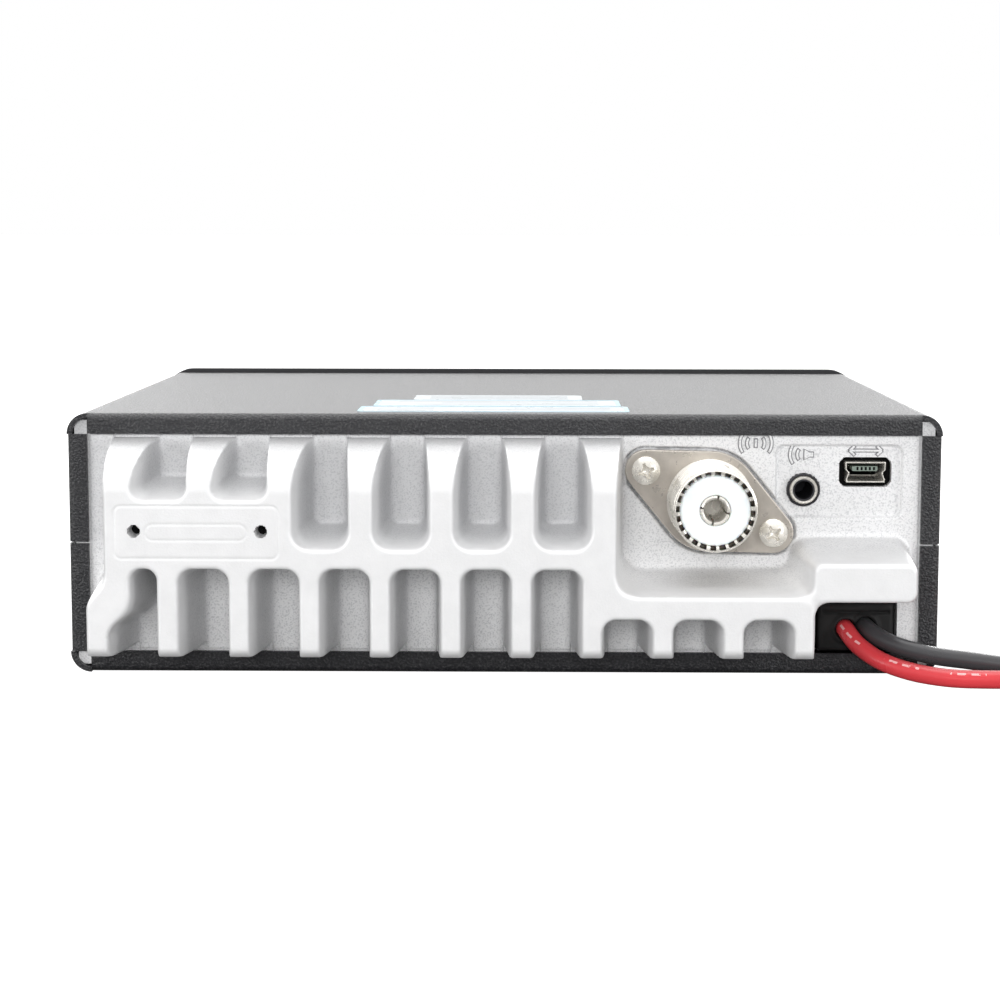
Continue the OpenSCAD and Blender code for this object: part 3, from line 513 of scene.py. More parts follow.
def make_plug():
    """Two-pole connector: a housing that is hollow at its mating end, two sockets in it and a rib on top."""
    outline = round_rect(PLUG_X - 6.2, PLUG_X + 6.2, 0, 2 * PLUG_Z, 1.1)
    housing = add("power_connector", *plate_y(outline, PLUG_Y - 24, PLUG_Y), ["white_plastic"], node="dc_plug")
    bm = bmesh.new()
    bm.from_mesh(housing.data)
    front = [f for f in bm.faces if f.normal.y < -0.9]
    bmesh.ops.inset_region(bm, faces=front, thickness=1.1 * MM, use_even_offset=True)
    face = [f for f in bm.faces if f.normal.y < -0.9 and abs(f.calc_center_median().x - PLUG_X * MM) < 1e-3
            and f.calc_area() == max(g.calc_area() for g in bm.faces if g.normal.y < -0.9)]
    moved = bmesh.ops.extrude_face_region(bm, geom=face)
    for v in [g for g in moved["geom"] if isinstance(g, bmesh.types.BMVert)]:
        v.co.y += 10 * MM
    bmesh.ops.delete(bm, geom=face, context="FACES")
    bm.to_mesh(housing.data)
    bm.free()
    made = [soften(housing, 0.3)]
    profile = [(1.2, 6.0), (1.2, 5.2), (1.35, 5.0), (1.75, 5.0), (1.8, 5.3), (1.8, 14.4), (1.2, 14.4),
               (1.2, 6.0)]
    for tag, side in (("a", -1), ("b", 1)):
        v, f = around_y(PLUG_X + side * 2.9, PLUG_Z, profile, 32)
        made.append(add("power_socket_" + tag, v, f, ["nickel"], node="dc_contacts", smooth=40))
    outline = round_rect(PLUG_X - 3.4, PLUG_X + 3.4, PLUG_Y - 18, PLUG_Y - 6, 1.4)
    rib = plate_z(outline, 2 * PLUG_Z - 0.3, 2 * PLUG_Z + 0.35)
    made.append(soften(add("power_connector_rib", *rib, ["white_plastic"]), 0.12))
    return made


plug_pieces = make_plug()
make_lead("lead_positive", RED_OUT, 21, "lead_red", "red_lead")
make_lead("lead_negative", BLACK_OUT, 17.2, "lead_black", "black_lead")


# ---------- rear casting ----------
def box_field(x, z, x0, x1, z0, z1, r):
    """Signed distance to a rectangle with corner radius r, negative inside."""
    qx = np.abs(x - (x0 + x1) / 2) - (x1 - x0) / 2 + r
    qz = np.abs(z - (z0 + z1) / 2) - (z1 - z0) / 2 + r
    return np.hypot(np.maximum(qx, 0), np.maximum(qz, 0)) + np.minimum(np.maximum(qx, qz), 0) - r


def blend_min(a, b, k):
    h = np.maximum(k - np.abs(a - b), 0) / k
    return np.minimum(a, b) - h * h * k / 4


def turned(x, z):
    """Coordinates along and across the antenna flange."""
    dx, dz = x - ANTENNA[0], z - ANTENNA[1]
    c, s = math.cos(FLANGE_TURN), math.sin(FLANGE_TURN)
    return dx * c + dz * s, -dx * s + dz * c


def flange_field(x, z, big, small):
    """Signed distance to the two-screw flange: three circles and their common tangents."""
    u, w = turned(x, z)
    u, w = np.abs(u), np.abs(w)
    tilt = math.acos((big - small) / SCREW_AT)
    nx, nz = math.cos(tilt), math.sin(tilt)
    side = u * nx + w * nz - big
    along = u * nz - w * nx
    reach = SCREW_AT * nz
    return np.where(along < 0, np.hypot(u, w) - big,
                    np.where(along > reach, np.hypot(u - SCREW_AT, w) - small, side))


def fin_blocks(x, z):
    tall = box_field(x, z, -21.2, 73.9, -20, 60, 0.5)
    low = box_field(x, z, -58.0, 77.2, -20, 18.9, 3.0)
    boss = box_field(x, z, -76.9, -57.7, 18.0, 25.2, 1.8)
    joined = blend_min(tall, low, 5.0)
    return blend_min(joined, boss, 3.6)


def grooves(x, z):
    """The pockets that are open upward, those that are open downward, and the notch at the far fin."""
    field = np.full_like(x, 1e3)
    for i in range(6):
        c = -11.3 + 15 * i
        floor, r = (36.7, 2.6) if i > 3 else (27.6, 3.5)
        field = np.minimum(field, box_field(x, z, c - 5.2, c + 5.2, floor, 90, r))
    for i in range(-3, 6):
        c = -10.2 + 13.13 * i
        field = np.minimum(field, box_field(x, z, c - 4.675, c + 4.675, -60, 14.6 if i < 0 else 23.9, 2.7))
    neck = box_field(x, z, 64.1, 69.1, -60, 23.9, 2.3)
    foot = box_field(x, z, 64.1, 73.2, -60, 13.6, 3.0)
    return np.minimum(field, np.maximum(blend_min(neck, foot, 5.5), 64.1 - x))


def wall_field(x, z):
    """Distance outside the solid's outline at the fins' ends."""
    return np.maximum(fin_blocks(x, z), -grooves(x, z))


EDGE_R, FILLET_R = 0.75, 1.15  # rounding of a fin's end and of its foot
CURVE_Z, CURVE_DROP, CURVE = 37.9, 8.3, 2.2  # start, run and power of the fin ends' rounded top
LEAN_Z, STEP_Z, END_Z, LEAN = 9.0, 7.0, 6.1, 2.2  # and of their lower end


def face_height(z):
    """Height of a fin's end over the base plane."""
    top = np.clip((z - CURVE_Z) / CURVE_DROP, 0, 1)
    h = np.where(z > CURVE_Z, FACE_H * (1 - top ** CURVE) ** (1 / CURVE), FACE_H)
    h = np.where(z < LEAN_Z, FACE_H - LEAN * ((LEAN_Z - z) / (LEAN_Z - STEP_Z)) ** 2, h)
    return np.where(z < STEP_Z, (FACE_H - LEAN) * np.clip((z - END_Z) / 0.9, 0, 1) ** 0.5, h)


def casting_height(x, z):
    """Height of the casting's rear surface over its base plane."""
    s = wall_field(x, z)
    top = face_height(z)
    foot = DRAFT * (1 - top / FACE_H)
    r = np.minimum(EDGE_R, top * 0.9 + 1e-3)
    t = s - foot + r
    rim = top - r + np.sqrt(np.clip(r * r - np.clip(t, 0, None) ** 2, 0, None))
    wall = np.minimum(top - r, FACE_H * (1 - s / DRAFT))
    h = np.where(t <= 0, top, np.where(t < r, rim, wall))
    centre = DRAFT + 0.928 * FILLET_R
    near = FILLET_R - np.sqrt(np.clip(FILLET_R ** 2 - np.clip(centre - s, 0, FILLET_R) ** 2, 0, None))
    h = np.where(s > centre - FILLET_R, np.maximum(h, near), h)
    h = np.maximum(h, 0)
    on_face = s < -0.5
    # name panel: a rectangle in outline, an oblong line and two pin holes
    sunk = box_field(x, z, 41.5, 71.8, 25.9, 35.7, 1.2)
    h = h - np.where(on_face, 0.2 * smooth_step(1 - np.abs(sunk) / 0.28), 0)
    oval = np.abs(box_field(x, z, 47.3, 66.1, 29.3, 32.3, 1.5))
    h = h - 0.14 * smooth_step(1 - oval / 0.26)
    for c in PIN_XS:
        h = np.where(np.hypot(x - c, z - PIN_Z) < 0.96, FACE_H - 4, h)
    # low places in the base plate
    flat = h < 0.02
    jack = box_field(x, z, -77.4, -53, 31, 45, 1.6)
    flange = flange_field(x, z, 10.35, 4.45)
    low = 1.2 * smooth_step(0.5 - jack / 0.45)
    low = np.maximum(low, 0.6 * smooth_step(0.5 - flange / 0.3))
    gap = np.abs(flange_field(x, z, 10.05, 4.25) - 0.05)
    low = np.maximum(low, 1.9 * smooth_step(1.2 - gap / 0.3))
    h = np.where(flat, h - low, np.where(jack < 0.3, h - low, h))
    edge = np.maximum(np.abs(x) - 80.8, np.maximum(4.5 - z, z - 46.8))
    return np.where((edge > 0) & (h < 0.5), -0.3, h)


def hole_fields(x, z):
    """Signed distances to the through holes, negative inside."""
    return [
        np.hypot(x - JACK[0], z - JACK[1]) - 3.3,
        box_field(x, z, PORT[0] - 5.1, PORT[0] + 5.1, PORT[1] - 2.9, PORT[1] + 2.9, 1.5),
        np.hypot(x - ANTENNA[0], z - ANTENNA[1]) - 5.2,
        box_field(x, z, -77, -61, -30, 15, 0.6),
    ]


def snap(x, z, field, level, reach):
    """Moves grid points that are near a level line of the field onto it."""
    e = 0.01
    for _ in range(2):
        f = field(x, z) - level
        gx = (field(x + e, z) - field(x - e, z)) / (2 * e)
        gz = (field(x, z + e) - field(x, z - e)) / (2 * e)
        g = gx * gx + gz * gz
        ok = (np.abs(f) < reach) & (g > 0.5) & (g < 1.5)
        x = np.where(ok, x - f * gx / np.maximum(g, 1e-6), x)
        z = np.where(ok, z - f * gz / np.maximum(g, 1e-6), z)
        reach = reach * 1.05
    return x, z


def make_casting():
    step = 0.22
    edges = (-83.7, 83.7, 1.4, 49.6)
    nx, nz = round((edges[1] - edges[0]) / step), round((edges[3] - edges[2]) / step)
    x, z = np.meshgrid(np.linspace(*edges[:2], nx + 1), np.linspace(*edges[2:], nz + 1), indexing="ij")
    inner = np.zeros_like(x, bool)
    inner[1:-1, 1:-1] = True

    def pinned(px, pz):
        return np.minimum.reduce([np.hypot(px - c, pz - PIN_Z) for c in PIN_XS])

    def holes(px, pz):
        return np.minimum.reduce(hole_fields(px, pz))

    for field, level in ((wall_field, 0.0), (wall_field, DRAFT), (pinned, 0.95), (holes, 0.0)):
        sx, sz = snap(x, z, field, level, step * 0.48)
        x, z = np.where(inner, sx, x), np.where(inner, sz, z)
    y = BASE_Y + casting_height(x, z)
    cx, cz = [(g[1:, 1:] + g[:-1, :-1] + g[1:, :-1] + g[:-1, 1:]) / 4 for g in (x, z)]
    keep = (holes(cx, cz) > 0) & (box_field(cx, cz, *edges, 1.0) < 0)
    used = np.zeros_like(x, bool)
    for corner in (used[:-1, :-1], used[1:, :-1], used[:-1, 1:], used[1:, 1:]):
        corner |= keep
    ids = -np.ones(x.shape, int)
    ids[used] = np.arange(used.sum())
    rear = np.stack([x[used], y[used], z[used]], 1)
    i, k = np.nonzero(keep)
    quads = np.stack([ids[i, k], ids[i + 1, k], ids[i + 1, k + 1], ids[i, k + 1]], 1)
    # boundary edges, as directed pairs of rear points
    pairs = []
    padded = np.pad(keep, 1)
    for (di, dk), (a, b) in (((0, -1), ((0, 0), (1, 0))), ((1, 0), ((1, 0), (1, 1))),
                             ((0, 1), ((1, 1), (0, 1))), ((-1, 0), ((0, 1), (0, 0)))):
        open_side = keep & ~padded[1 + di:padded.shape[0] - 1 + di, 1 + dk:padded.shape[1] - 1 + dk]
        i, k = np.nonzero(open_side)
        pairs.append(np.stack([ids[i + a[0], k + a[1]], ids[i + b[0], k + b[1]]], 1))
    pairs = np.concatenate(pairs).tolist()
    # the same edges on the plate's inner side, and the flat between them
    rim = sorted({v for pair in pairs for v in pair})
    place = {v: n for n, v in enumerate(rim)}
    flat = rear[rim]
    flat[:, 1] = PLATE_Y
    base = len(rear)
    sides = [(b, a, base + place[a], base + place[b]) for a, b in pairs]
    border = [(place[a], place[b]) for a, b in pairs]
    cdt = delaunay_2d_cdt([Vector((p[0], p[2])) for p in flat.tolist()], border, [], 1, 1e-5)
    points, tris, origin = cdt[0], cdt[2], cdt[3]
    middle = np.array([[sum(points[v][c] for v in t) / 3 for c in (0, 1)] for t in tris])
    solid = holes(middle[:, 0], middle[:, 1]) > 0
    caps = [[base + origin[v][0] for v in t] for t, ok in zip(tris, solid) if ok]
    add("rear_heatsink_casting", np.concatenate([rear, flat]), quads.tolist() + sides + caps, ["cast_silver"],
        node="rear_heatsink", smooth=80)


make_casting()
# near-black floors in the name panel's pin holes: painted shade
PIN_FLOOR = [(0.01, BASE_Y + 18), (1.1, BASE_Y + 18), (1.1, BASE_Y + FACE_H - 3.9),
             (0.5, BASE_Y + FACE_H - 3.7), (0.01, BASE_Y + FACE_H - 3.7)]
for n, c in enumerate(PIN_XS):
    floor = around_y(c, PIN_Z, PIN_FLOOR, 32)
    add("pin_hole_floor_%d" % (n + 1), *floor, ["dark_hole"], slot="cast_silver", smooth=40)
dress("chassis_frame", "plain_cast", 0.25)


# ---------- raised marks by the sockets ----------
def bar(x0, z0, x1, z1, w, grow=0.0):
    n = math.hypot(x1 - x0, z1 - z0)
    ux, uz = (x1 - x0) / n, (z1 - z0) / n
    x0, z0, x1, z1 = x0 - ux * grow, z0 - uz * grow, x1 + ux * grow, z1 + uz * grow
    half = w / 2 + grow
    ox, oz = -uz * half, ux * half
    return [(x0 + ox, z0 + oz), (x0 - ox, z0 - oz), (x1 - ox, z1 - oz), (x1 + ox, z1 + oz)]


def wave(x, z, r, half, w, grow=0.0):
    """Part of a ring round a point, that opens to +x, or to -x for a negative radius."""
    side = 1 if r > 0 else -1
    spread = half + math.degrees(grow / abs(r))
    outer = arc(0, 0, abs(r) + w / 2 + grow, -spread, spread, 8)
    inner = arc(0, 0, abs(r) - w / 2 - grow, spread, -spread, 8)
    return [(x + side * px, z + pz) for px, pz in outer + inner]


def aerial(grow):
    return ([bar(0, -0.75, 0, 0.75, 0.42, grow)]
            + [wave(0, 0, r, 34, 0.4, grow) for r in (1.7, 3.1, -1.7, -3.1)])


def loudspeaker(grow):
    upper = [(-3.2 - grow, 0.4 + grow), (-2.5, 0.4 + grow), (-1.5 + grow, 1.0 + grow)]
    horn = upper + [(px, -pz) for px, pz in reversed(upper)]
    return [horn] + [wave(-1.8, 0, r, 34, 0.4, grow) for r in (1.7, 3.1)]


def two_way(grow):
    tips = [bar(side * 3.1, 0, side * 2.2, rise, 0.4, grow) for side in (-1, 1) for rise in (-0.85, 0.85)]
    return [bar(-2.9, 0, 2.9, 0, 0.4, grow)] + tips


def relief(name, shape, x, z, y):
    """A raised mark on the casting, from a shape round its own centre, on a grey sheet that paints its shadow.
    """
    # the _outline sheet, a little larger than the mark, is painted shadow; the mark itself is cast silver
    for tag, key, grow, top in (("_outline", "painted_shadow_line", 0.2, 0.05), ("", "cast_silver", 0.0, 0.5)):
        solids = [plate_y([(x + px, z + pz) for px, pz in part], y - 0.15, y + top) for part in shape(grow)]
        v, f, _ = merged(solids)
        mark = add(name + tag, v, f, [key], slot="cast_silver")
        soften(mark, 0.02 if tag else 0.11, 2)


relief("mark_antenna", aerial, -48.9, 45.4, BASE_Y)
relief("mark_speaker", loudspeaker, -57.0, 43.1, BASE_Y - 1.2)
relief("mark_data", two_way, -70.4, 43.9, BASE_Y - 1.2)


# ---------- covers ----------
dress("top_cover", "cover_black", 0.22, 3, 50)
dress("bottom_cover", "cover_black", 0.22, 3, 50)


# ---------- screws and nuts ----------
def placed(points, axis, centre, turn=0.0):
    """Points made round +w, set along a level axis at the centre and turned about it."""
    w = Vector(axis)
    a = Vector((0, 0, 1)).cross(w)
    b = w.cross(a)
    ct, st = math.cos(turn), math.sin(turn)
    p = np.asarray(points, float)
    u, v = p[:, 0] * ct - p[:, 1] * st, p[:, 0] * st + p[:, 1] * ct
    return (np.outer(u, a) + np.outer(v, b) + np.outer(p[:, 2], w) + np.array(centre)).tolist()


def cross_head(radius, height, dome, drive, shank_r, shank, depth=1.15, countersunk=False):
    """Cross-recessed screw standing on w = 0: domed head up, shank down, in its own axes."""
    rings, segs = 26, 96
    rad = radius * np.linspace(0, 1, rings + 1)[1:] ** 0.9
    ang = 2 * math.pi * np.arange(segs) / segs
    r, a = np.meshgrid(rad, ang, indexing="ij")
    u, v = r * np.cos(a), r * np.sin(a)

    def crown(r):
        edge = 0.0 if countersunk else height * 0.62 * (np.clip(r / radius, 0, 1) ** dome)
        return height - edge

    def recess(u, v):
        width = drive * 0.30
        arm = np.maximum(np.minimum(np.abs(u), np.abs(v)) - width / 2, np.maximum(np.abs(u), np.abs(v)) - drive)
        core = np.hypot(u, v) - drive * 0.52
        inside = blend_min(arm, core, 0.18 * drive)
        fall = np.clip(1 - np.hypot(u, v) / (drive * 1.25), 0, 1)
        return depth * (0.35 + 0.65 * fall) * smooth_step(0.5 - inside / (0.16 * drive))

    w = crown(r) - recess(u, v)
    side = [(radius, height - 0.12)] if countersunk else [(radius, 0.12), (radius - 0.12, 0.0)]
    side += [(shank_r, 0.0), (shank_r, -shank + 0.4), (shank_r - 0.4, -shank)]
    verts = [(0.0, 0.0, float(crown(0) - depth))] + np.stack([u, v, w], -1).reshape(-1, 3).tolist()
    verts += [(rr * math.cos(t), rr * math.sin(t), ww) for rr, ww in side for t in ang]
    faces = [(0, 1 + k, 1 + (k + 1) % segs) for k in range(segs)] + ring_faces(rings + len(side), segs, 1)
    faces.append([len(verts) - 1 - k for k in range(segs)])
    return verts, faces


def screw(name, head, axis, centre, turn, key, node):
    verts, faces = head
    add(name, placed(verts, axis, centre, turn), faces, [key], node=node, smooth=42)


TURNS = [0.3, 0.9, 0.1, 1.2, 0.55, 1.35, 0.75, 0.2]
pan = cross_head(2.8, 1.5, 3.0, 1.55, 1.45, 5.0)
for n, (side, y, z) in enumerate((side, y, z) for side in (-1, 1) for y in (-46, 44) for z in (9, 42)):
    screw("cover_screw_%d" % (n + 1), pan, (side, 0, 0), (side * 85, y, z), TURNS[n], "zinc_steel",
          "cover_screws")
flush = cross_head(2.7, 1.4, 3.0, 1.4, 1.5, 5.6, depth=1.0, countersunk=True)
for n, (side, z) in enumerate((side, z) for side in (-1, 1) for z in (13, 39)):
    screw("panel_screw_%d" % (n + 1), flush, (side, 0, 0), (side * 84.5, -68.5, z), TURNS[n + 3], "zinc_steel",
          "panel_screws")
FLANGE_Y = BASE_Y - 0.6  # the flange stands in a recess
flange_pan = cross_head(2.75, 1.9, 2.6, 1.5, 1.25, 5.4, depth=1.25)
for tag, side, turn in (("1", -1, 0.62), ("2", 1, 0.35)):
    at = (ANTENNA[0] + side * SCREW_AT * math.cos(FLANGE_TURN), FLANGE_Y + 2,
          ANTENNA[1] + side * SCREW_AT * math.sin(FLANGE_TURN))
    screw("antenna_screw_" + tag, flange_pan, (0, 1, 0), at, turn, "nickel", "antenna_screws")


def bracket_nut(name, side, y):
    """Threaded steel insert that stands in the cover's hole."""
    rows = 44
    profile = [(3.8, 5.35), (3.65, 5.5), (1.85, 5.5), (1.65, 5.3)]
    for i in range(rows):
        w = 5.2 - i * 5.2 / rows
        profile.append((1.65 + 0.14 * abs((w / 0.35) % 1 * 2 - 1), w))
    profile += [(1.65, 0.0), (3.8, 0.0), (3.8, 5.35)]
    verts, faces = around_y(0, 0, profile, 48)
    verts = placed([(u, v, w) for u, w, v in verts], (side, 0, 0), (side * 79.5, y, 35))
    add(name, verts, faces, ["zinc_steel"], node="bracket_nuts", smooth=35)


for n, (side, y) in enumerate([(-1, -20), (-1, 10), (1, -20), (1, 10)]):
    bracket_nut("bracket_nut_%d" % (n + 1), side, y)


# ---------- labels on the top cover ----------
def make_label(name, x0, x1, y0, y1, tint, bars):
    """Stuck-on film with rounded corners, a coloured border and blank printed bars."""
    film, ink = TOP_Z + 0.17, TOP_Z + 0.2
    outer = round_rect(x0, x1, y0, y1, 1.2)
    parts, mats = [plate_z(outer, TOP_Z, film)], [0]
    if tint:
        inner = round_rect(x0 + 0.9, x1 - 0.9, y0 + 0.9, y1 - 0.9, 0.6)
        n = len(outer)
        v = [(p[0], p[1], z) for z in (film, ink) for p in outer + inner]
        f = []
        for k in range(n):
            m = (k + 1) % n
            f += [(k, m, n + m, n + k), (2 * n + k, 3 * n + k, 3 * n + m, 2 * n + m),
                  (k, 2 * n + k, 2 * n + m, m), (n + k, n + m, 3 * n + m, 3 * n + k)]
        parts.append((v, f))
        mats.append(1)
    parts += [plate_z(round_rect(*bar, 0.25, 2), film, ink) for bar in bars]
    mats += [2] * len(bars)
    v, f, index = merged(parts)
    add(name, v, f, ["label_white", "label_blue", "label_grey"], node="rear_labels", merge=False,
        index=[mats[i] for i in index])


make_label("label_rear", -24.6, 28.8, 46, 59, True,
           [(-21, -2, 49.2, 50.6), (-21, 6, 53.2, 54.6), (14, 25, 48.8, 56.2)])
make_label("label_middle", -23.4, 26.6, 29, 45, True,
           [(-19, 22, 32, 33), (-19, 13, 35.8, 36.8), (-19, 18, 39.6, 40.6)])
make_label("label_front", -16, 19.3, 15, 28, False, [(-13, 16, 17 + 2.0 * k, 17.8 + 2.0 * k) for k in range(5)])


# ---------- antenna connector ----------
def make_antenna():
    ax, az = ANTENNA
    # flange: three arcs and their tangents, in the casting's recess
    big, small = 9.8, 4.0
    tilt = math.degrees(math.acos((big - small) / SCREW_AT))
    line = arc(0, 0, big, tilt, 180 - tilt, 24) + arc(-SCREW_AT, 0, small, 180 - tilt, 180 + tilt, 16)
    line += arc(0, 0, big, 180 + tilt, 360 - tilt, 24) + arc(SCREW_AT, 0, small, -tilt, tilt, 16)
    c, s = math.cos(FLANGE_TURN), math.sin(FLANGE_TURN)
    outline = plate_y([(ax + u * c - w * s, az + u * s + w * c) for u, w in line], FLANGE_Y, FLANGE_Y + 2)
    flange = add("antenna_flange", *outline, ["nickel_dull"], slot="nickel", node="antenna_body")
    soften(flange, 0.28, 3)
    # threaded barrel with a toothed rim, and the seat for the white insert
    segs, teeth, pitch, top, first_turn = 240, 24, 1.058, 16.8, 2.75
    collar = [(8.35, 1.4), (8.35, 2.0), (7.55, 2.6)]
    crests = [(7.94, float(v)) for v in np.arange(first_turn, top - 0.75, pitch / 9)]
    rows = collar + crests + [(7.78, top - 0.7), (7.72, top - 0.18), (7.55, top)]
    rim = len(rows)
    rows += [(7.46, top), (7.4, top), (6.98, top), (6.86, top - 0.1), (6.72, top - 0.35), (6.72, 13.8),
             (6.72, 1.4)]

    def barrel(i, r, y, a):
        yy = y
        if len(collar) <= i < rim - 3:
            ends = max(0, min(1, (y - first_turn) / 0.5, (top - 0.9 - y) / 0.5))
            r = r - thread_cut(y, a, pitch, 0.52 * ends)
        if rim + 1 <= i <= rim + 4 and (a / (2 * math.pi) * teeth) % 1 < 0.5:
            yy = y - 2.0
        return r, BASE_Y + yy

    verts, faces = around_y(ax, az, rows, segs, barrel, closed=True)
    # the faces cut for the rim's teeth take the darker nickel: painted shade in the notches
    cut = [(k / segs * teeth) % 1 < 0.5 or ((k + 1) / segs * teeth) % 1 < 0.5 for k in range(segs)]
    index = [int(rim <= i <= rim + 4 and cut[k]) for i in range(len(rows)) for k in range(segs)]
    add("antenna_barrel", verts, faces, ["nickel", "nickel_painted_shade"], node="antenna_body", smooth=48, index=index,
        merge=False)
    # white insert
    top = BASE_Y + 16
    profile = [(2.95, BASE_Y + 3), (2.95, top - 0.25), (3.1, top - 0.1), (3.35, top), (6.2, top),
               (6.5, top - 0.08), (6.68, top - 0.3), (6.7, BASE_Y + 2), (6.7, FLANGE_Y), (4.8, FLANGE_Y),
               (4.8, PLATE_Y - 2), (1.5, PLATE_Y - 2), (1.5, BASE_Y + 3), (2.95, BASE_Y + 3)]
    v, f = around_y(ax, az, profile, 96)
    add("antenna_insert", v, f, ["ptfe"], node="antenna_insulator", smooth=40)
    # centre contact: four leaves with slots between, on a solid root
    tip, steps, gap, leaf_turn = BASE_Y + 16.2, 14, math.radians(9), 0.2
    leaf = [(2.0, BASE_Y + 5), (2.85, BASE_Y + 5), (2.85, tip - 0.35), (2.7, tip - 0.1), (2.5, tip),
            (2.2, tip - 0.1), (2.0, tip - 0.6)]
    m = len(leaf)
    f = [(k * m + j, k * m + (j + 1) % m, (k + 1) * m + (j + 1) % m, (k + 1) * m + j)
         for k in range(steps) for j in range(m)]
    f += [list(range(m)), [steps * m + j for j in range(m)]]
    parts = []
    for q in range(4):
        a0 = math.pi / 2 * q + gap / 2 + leaf_turn
        a1 = math.pi / 2 * (q + 1) - gap / 2 + leaf_turn
        angles = [a0 + (a1 - a0) * k / steps for k in range(steps + 1)]
        parts.append(([(ax + r * math.cos(a), y, az + r * math.sin(a)) for a in angles for r, y in leaf], f))
    root = [(0.01, BASE_Y + 4), (2.0, BASE_Y + 4), (2.0, BASE_Y + 5.05), (2.85, BASE_Y + 5.05),
            (2.85, BASE_Y + 2), (1.5, BASE_Y + 2), (1.5, PLATE_Y - 8), (1.2, PLATE_Y - 8.3),
            (0.01, PLATE_Y - 8.3)]
    parts.append(around_y(ax, az, root, 64))
    v, f, _ = merged(parts)
    add("antenna_centre_contact", v, f, ["nickel"], node="antenna_contact", smooth=40)


make_antenna()


# ---------- speaker jack and data port ----------
def make_jack():
    dress("speaker_jack", "part_dark", 0.15)
    top = BASE_Y - 0.2
    bush = [(2.84, 59.4), (2.84, top - 0.25), (3.0, top - 0.05), (3.2, top - 0.25), (3.22, 59.0), (2.84, 59.0),
            (2.84, 59.4)]
    ring = [(1.95, 50.0), (1.95, top - 0.3), (2.2, top + 0.1), (2.5, top + 0.14), (2.7, top - 0.05),
            (2.8, top - 0.4), (2.8, top - 0.8), (2.0, top - 0.8), (2.0, 50.0), (1.95, 50.0)]
    add("jack_bush", *around_y(*JACK, bush, 64), ["part_dark"], smooth=40)
    add("jack_ring", *around_y(*JACK, ring, 64), ["nickel"], smooth=40)


def make_port():
    px, pz = PORT

    def port_line(w, h):
        w, h = w / 2, h / 2
        half = [(w, h), (w, 0.25 * h), (w - 0.5, 0), (w - 0.5, -0.25 * h), (w - 0.15, -0.7 * h), (w - 0.15, -h)]
        return [(px + u, pz + v) for u, v in half] + [(px - u, pz + v) for u, v in reversed(half)]

    def contacts(width, low, upper_shade, r, y0, y1):
        return [plate_y(round_rect(x, x + width, pz + low, pz + upper_shade, r, 2), y0, y1)
                for x in [px - 2.0 + 0.8 * k for k in range(5)]]

    outer, inner = port_line(7.8, 4.0), port_line(7.3, 3.5)
    n = len(outer)
    y0, y1 = 50.5, BASE_Y - 0.75
    loops = [(outer, y0), (outer, y1), (inner, y1), (inner, y0 + 0.4)]
    v = [(p[0], y, p[1]) for line, y in loops for p in line]
    f = ring_faces(4, n) + [list(range(n)), [3 * n + k for k in range(n)]]
    soften(add("port_shell", v, f, ["nickel"], node="data_shell"), 0.08)
    # dark bars round the port behind the plate: painted shade
    sides = [(3.95, 5.05, -2.85, 2.85), (-5.05, -3.95, -2.85, 2.85), (-3.95, 3.95, 2.05, 2.85),
             (-3.95, 3.95, -2.85, -2.05)]
    lines = [[(px + a, pz + c), (px + b, pz + c), (px + b, pz + d), (px + a, pz + d)] for a, b, c, d in sides]
    v, f, _ = merged([plate_y(line, 57.6, 58.9) for line in lines])
    add("port_surround", v, f, ["dark_hole"], slot="part_dark")
    # a dark well at the port's back: painted shade
    well = plate_y(round_rect(px - 3.4, px + 3.4, pz - 1.5, pz + 1.5, 0.4, 3), 50.9, 51.4)
    add("port_well", *well, ["dark_hole"], slot="part_dark")
    tongue = plate_y(round_rect(px - 2.5, px + 2.5, pz + 0.1, pz + 1.05, 0.18, 3), 51, BASE_Y - 1.9)
    soften(add("port_tongue", *tongue, ["lcd_grey"], slot="part_dark", node="data_tongue"), 0.08)
    # the contact slots as dark strips on the tongue: painted shade
    v, f, _ = merged(contacts(0.42, 0.28, 0.92, 0.08, BASE_Y - 1.95, BASE_Y - 1.86)
                     + contacts(0.42, 0.0, 0.12, 0.05, 51.5, BASE_Y - 2.3))
    soften(add("port_contacts", v, f, ["dark_hole"], slot="part_dark"), 0.03)
    dress("port_board", "board_green", 0.1)


make_jack()
make_port()


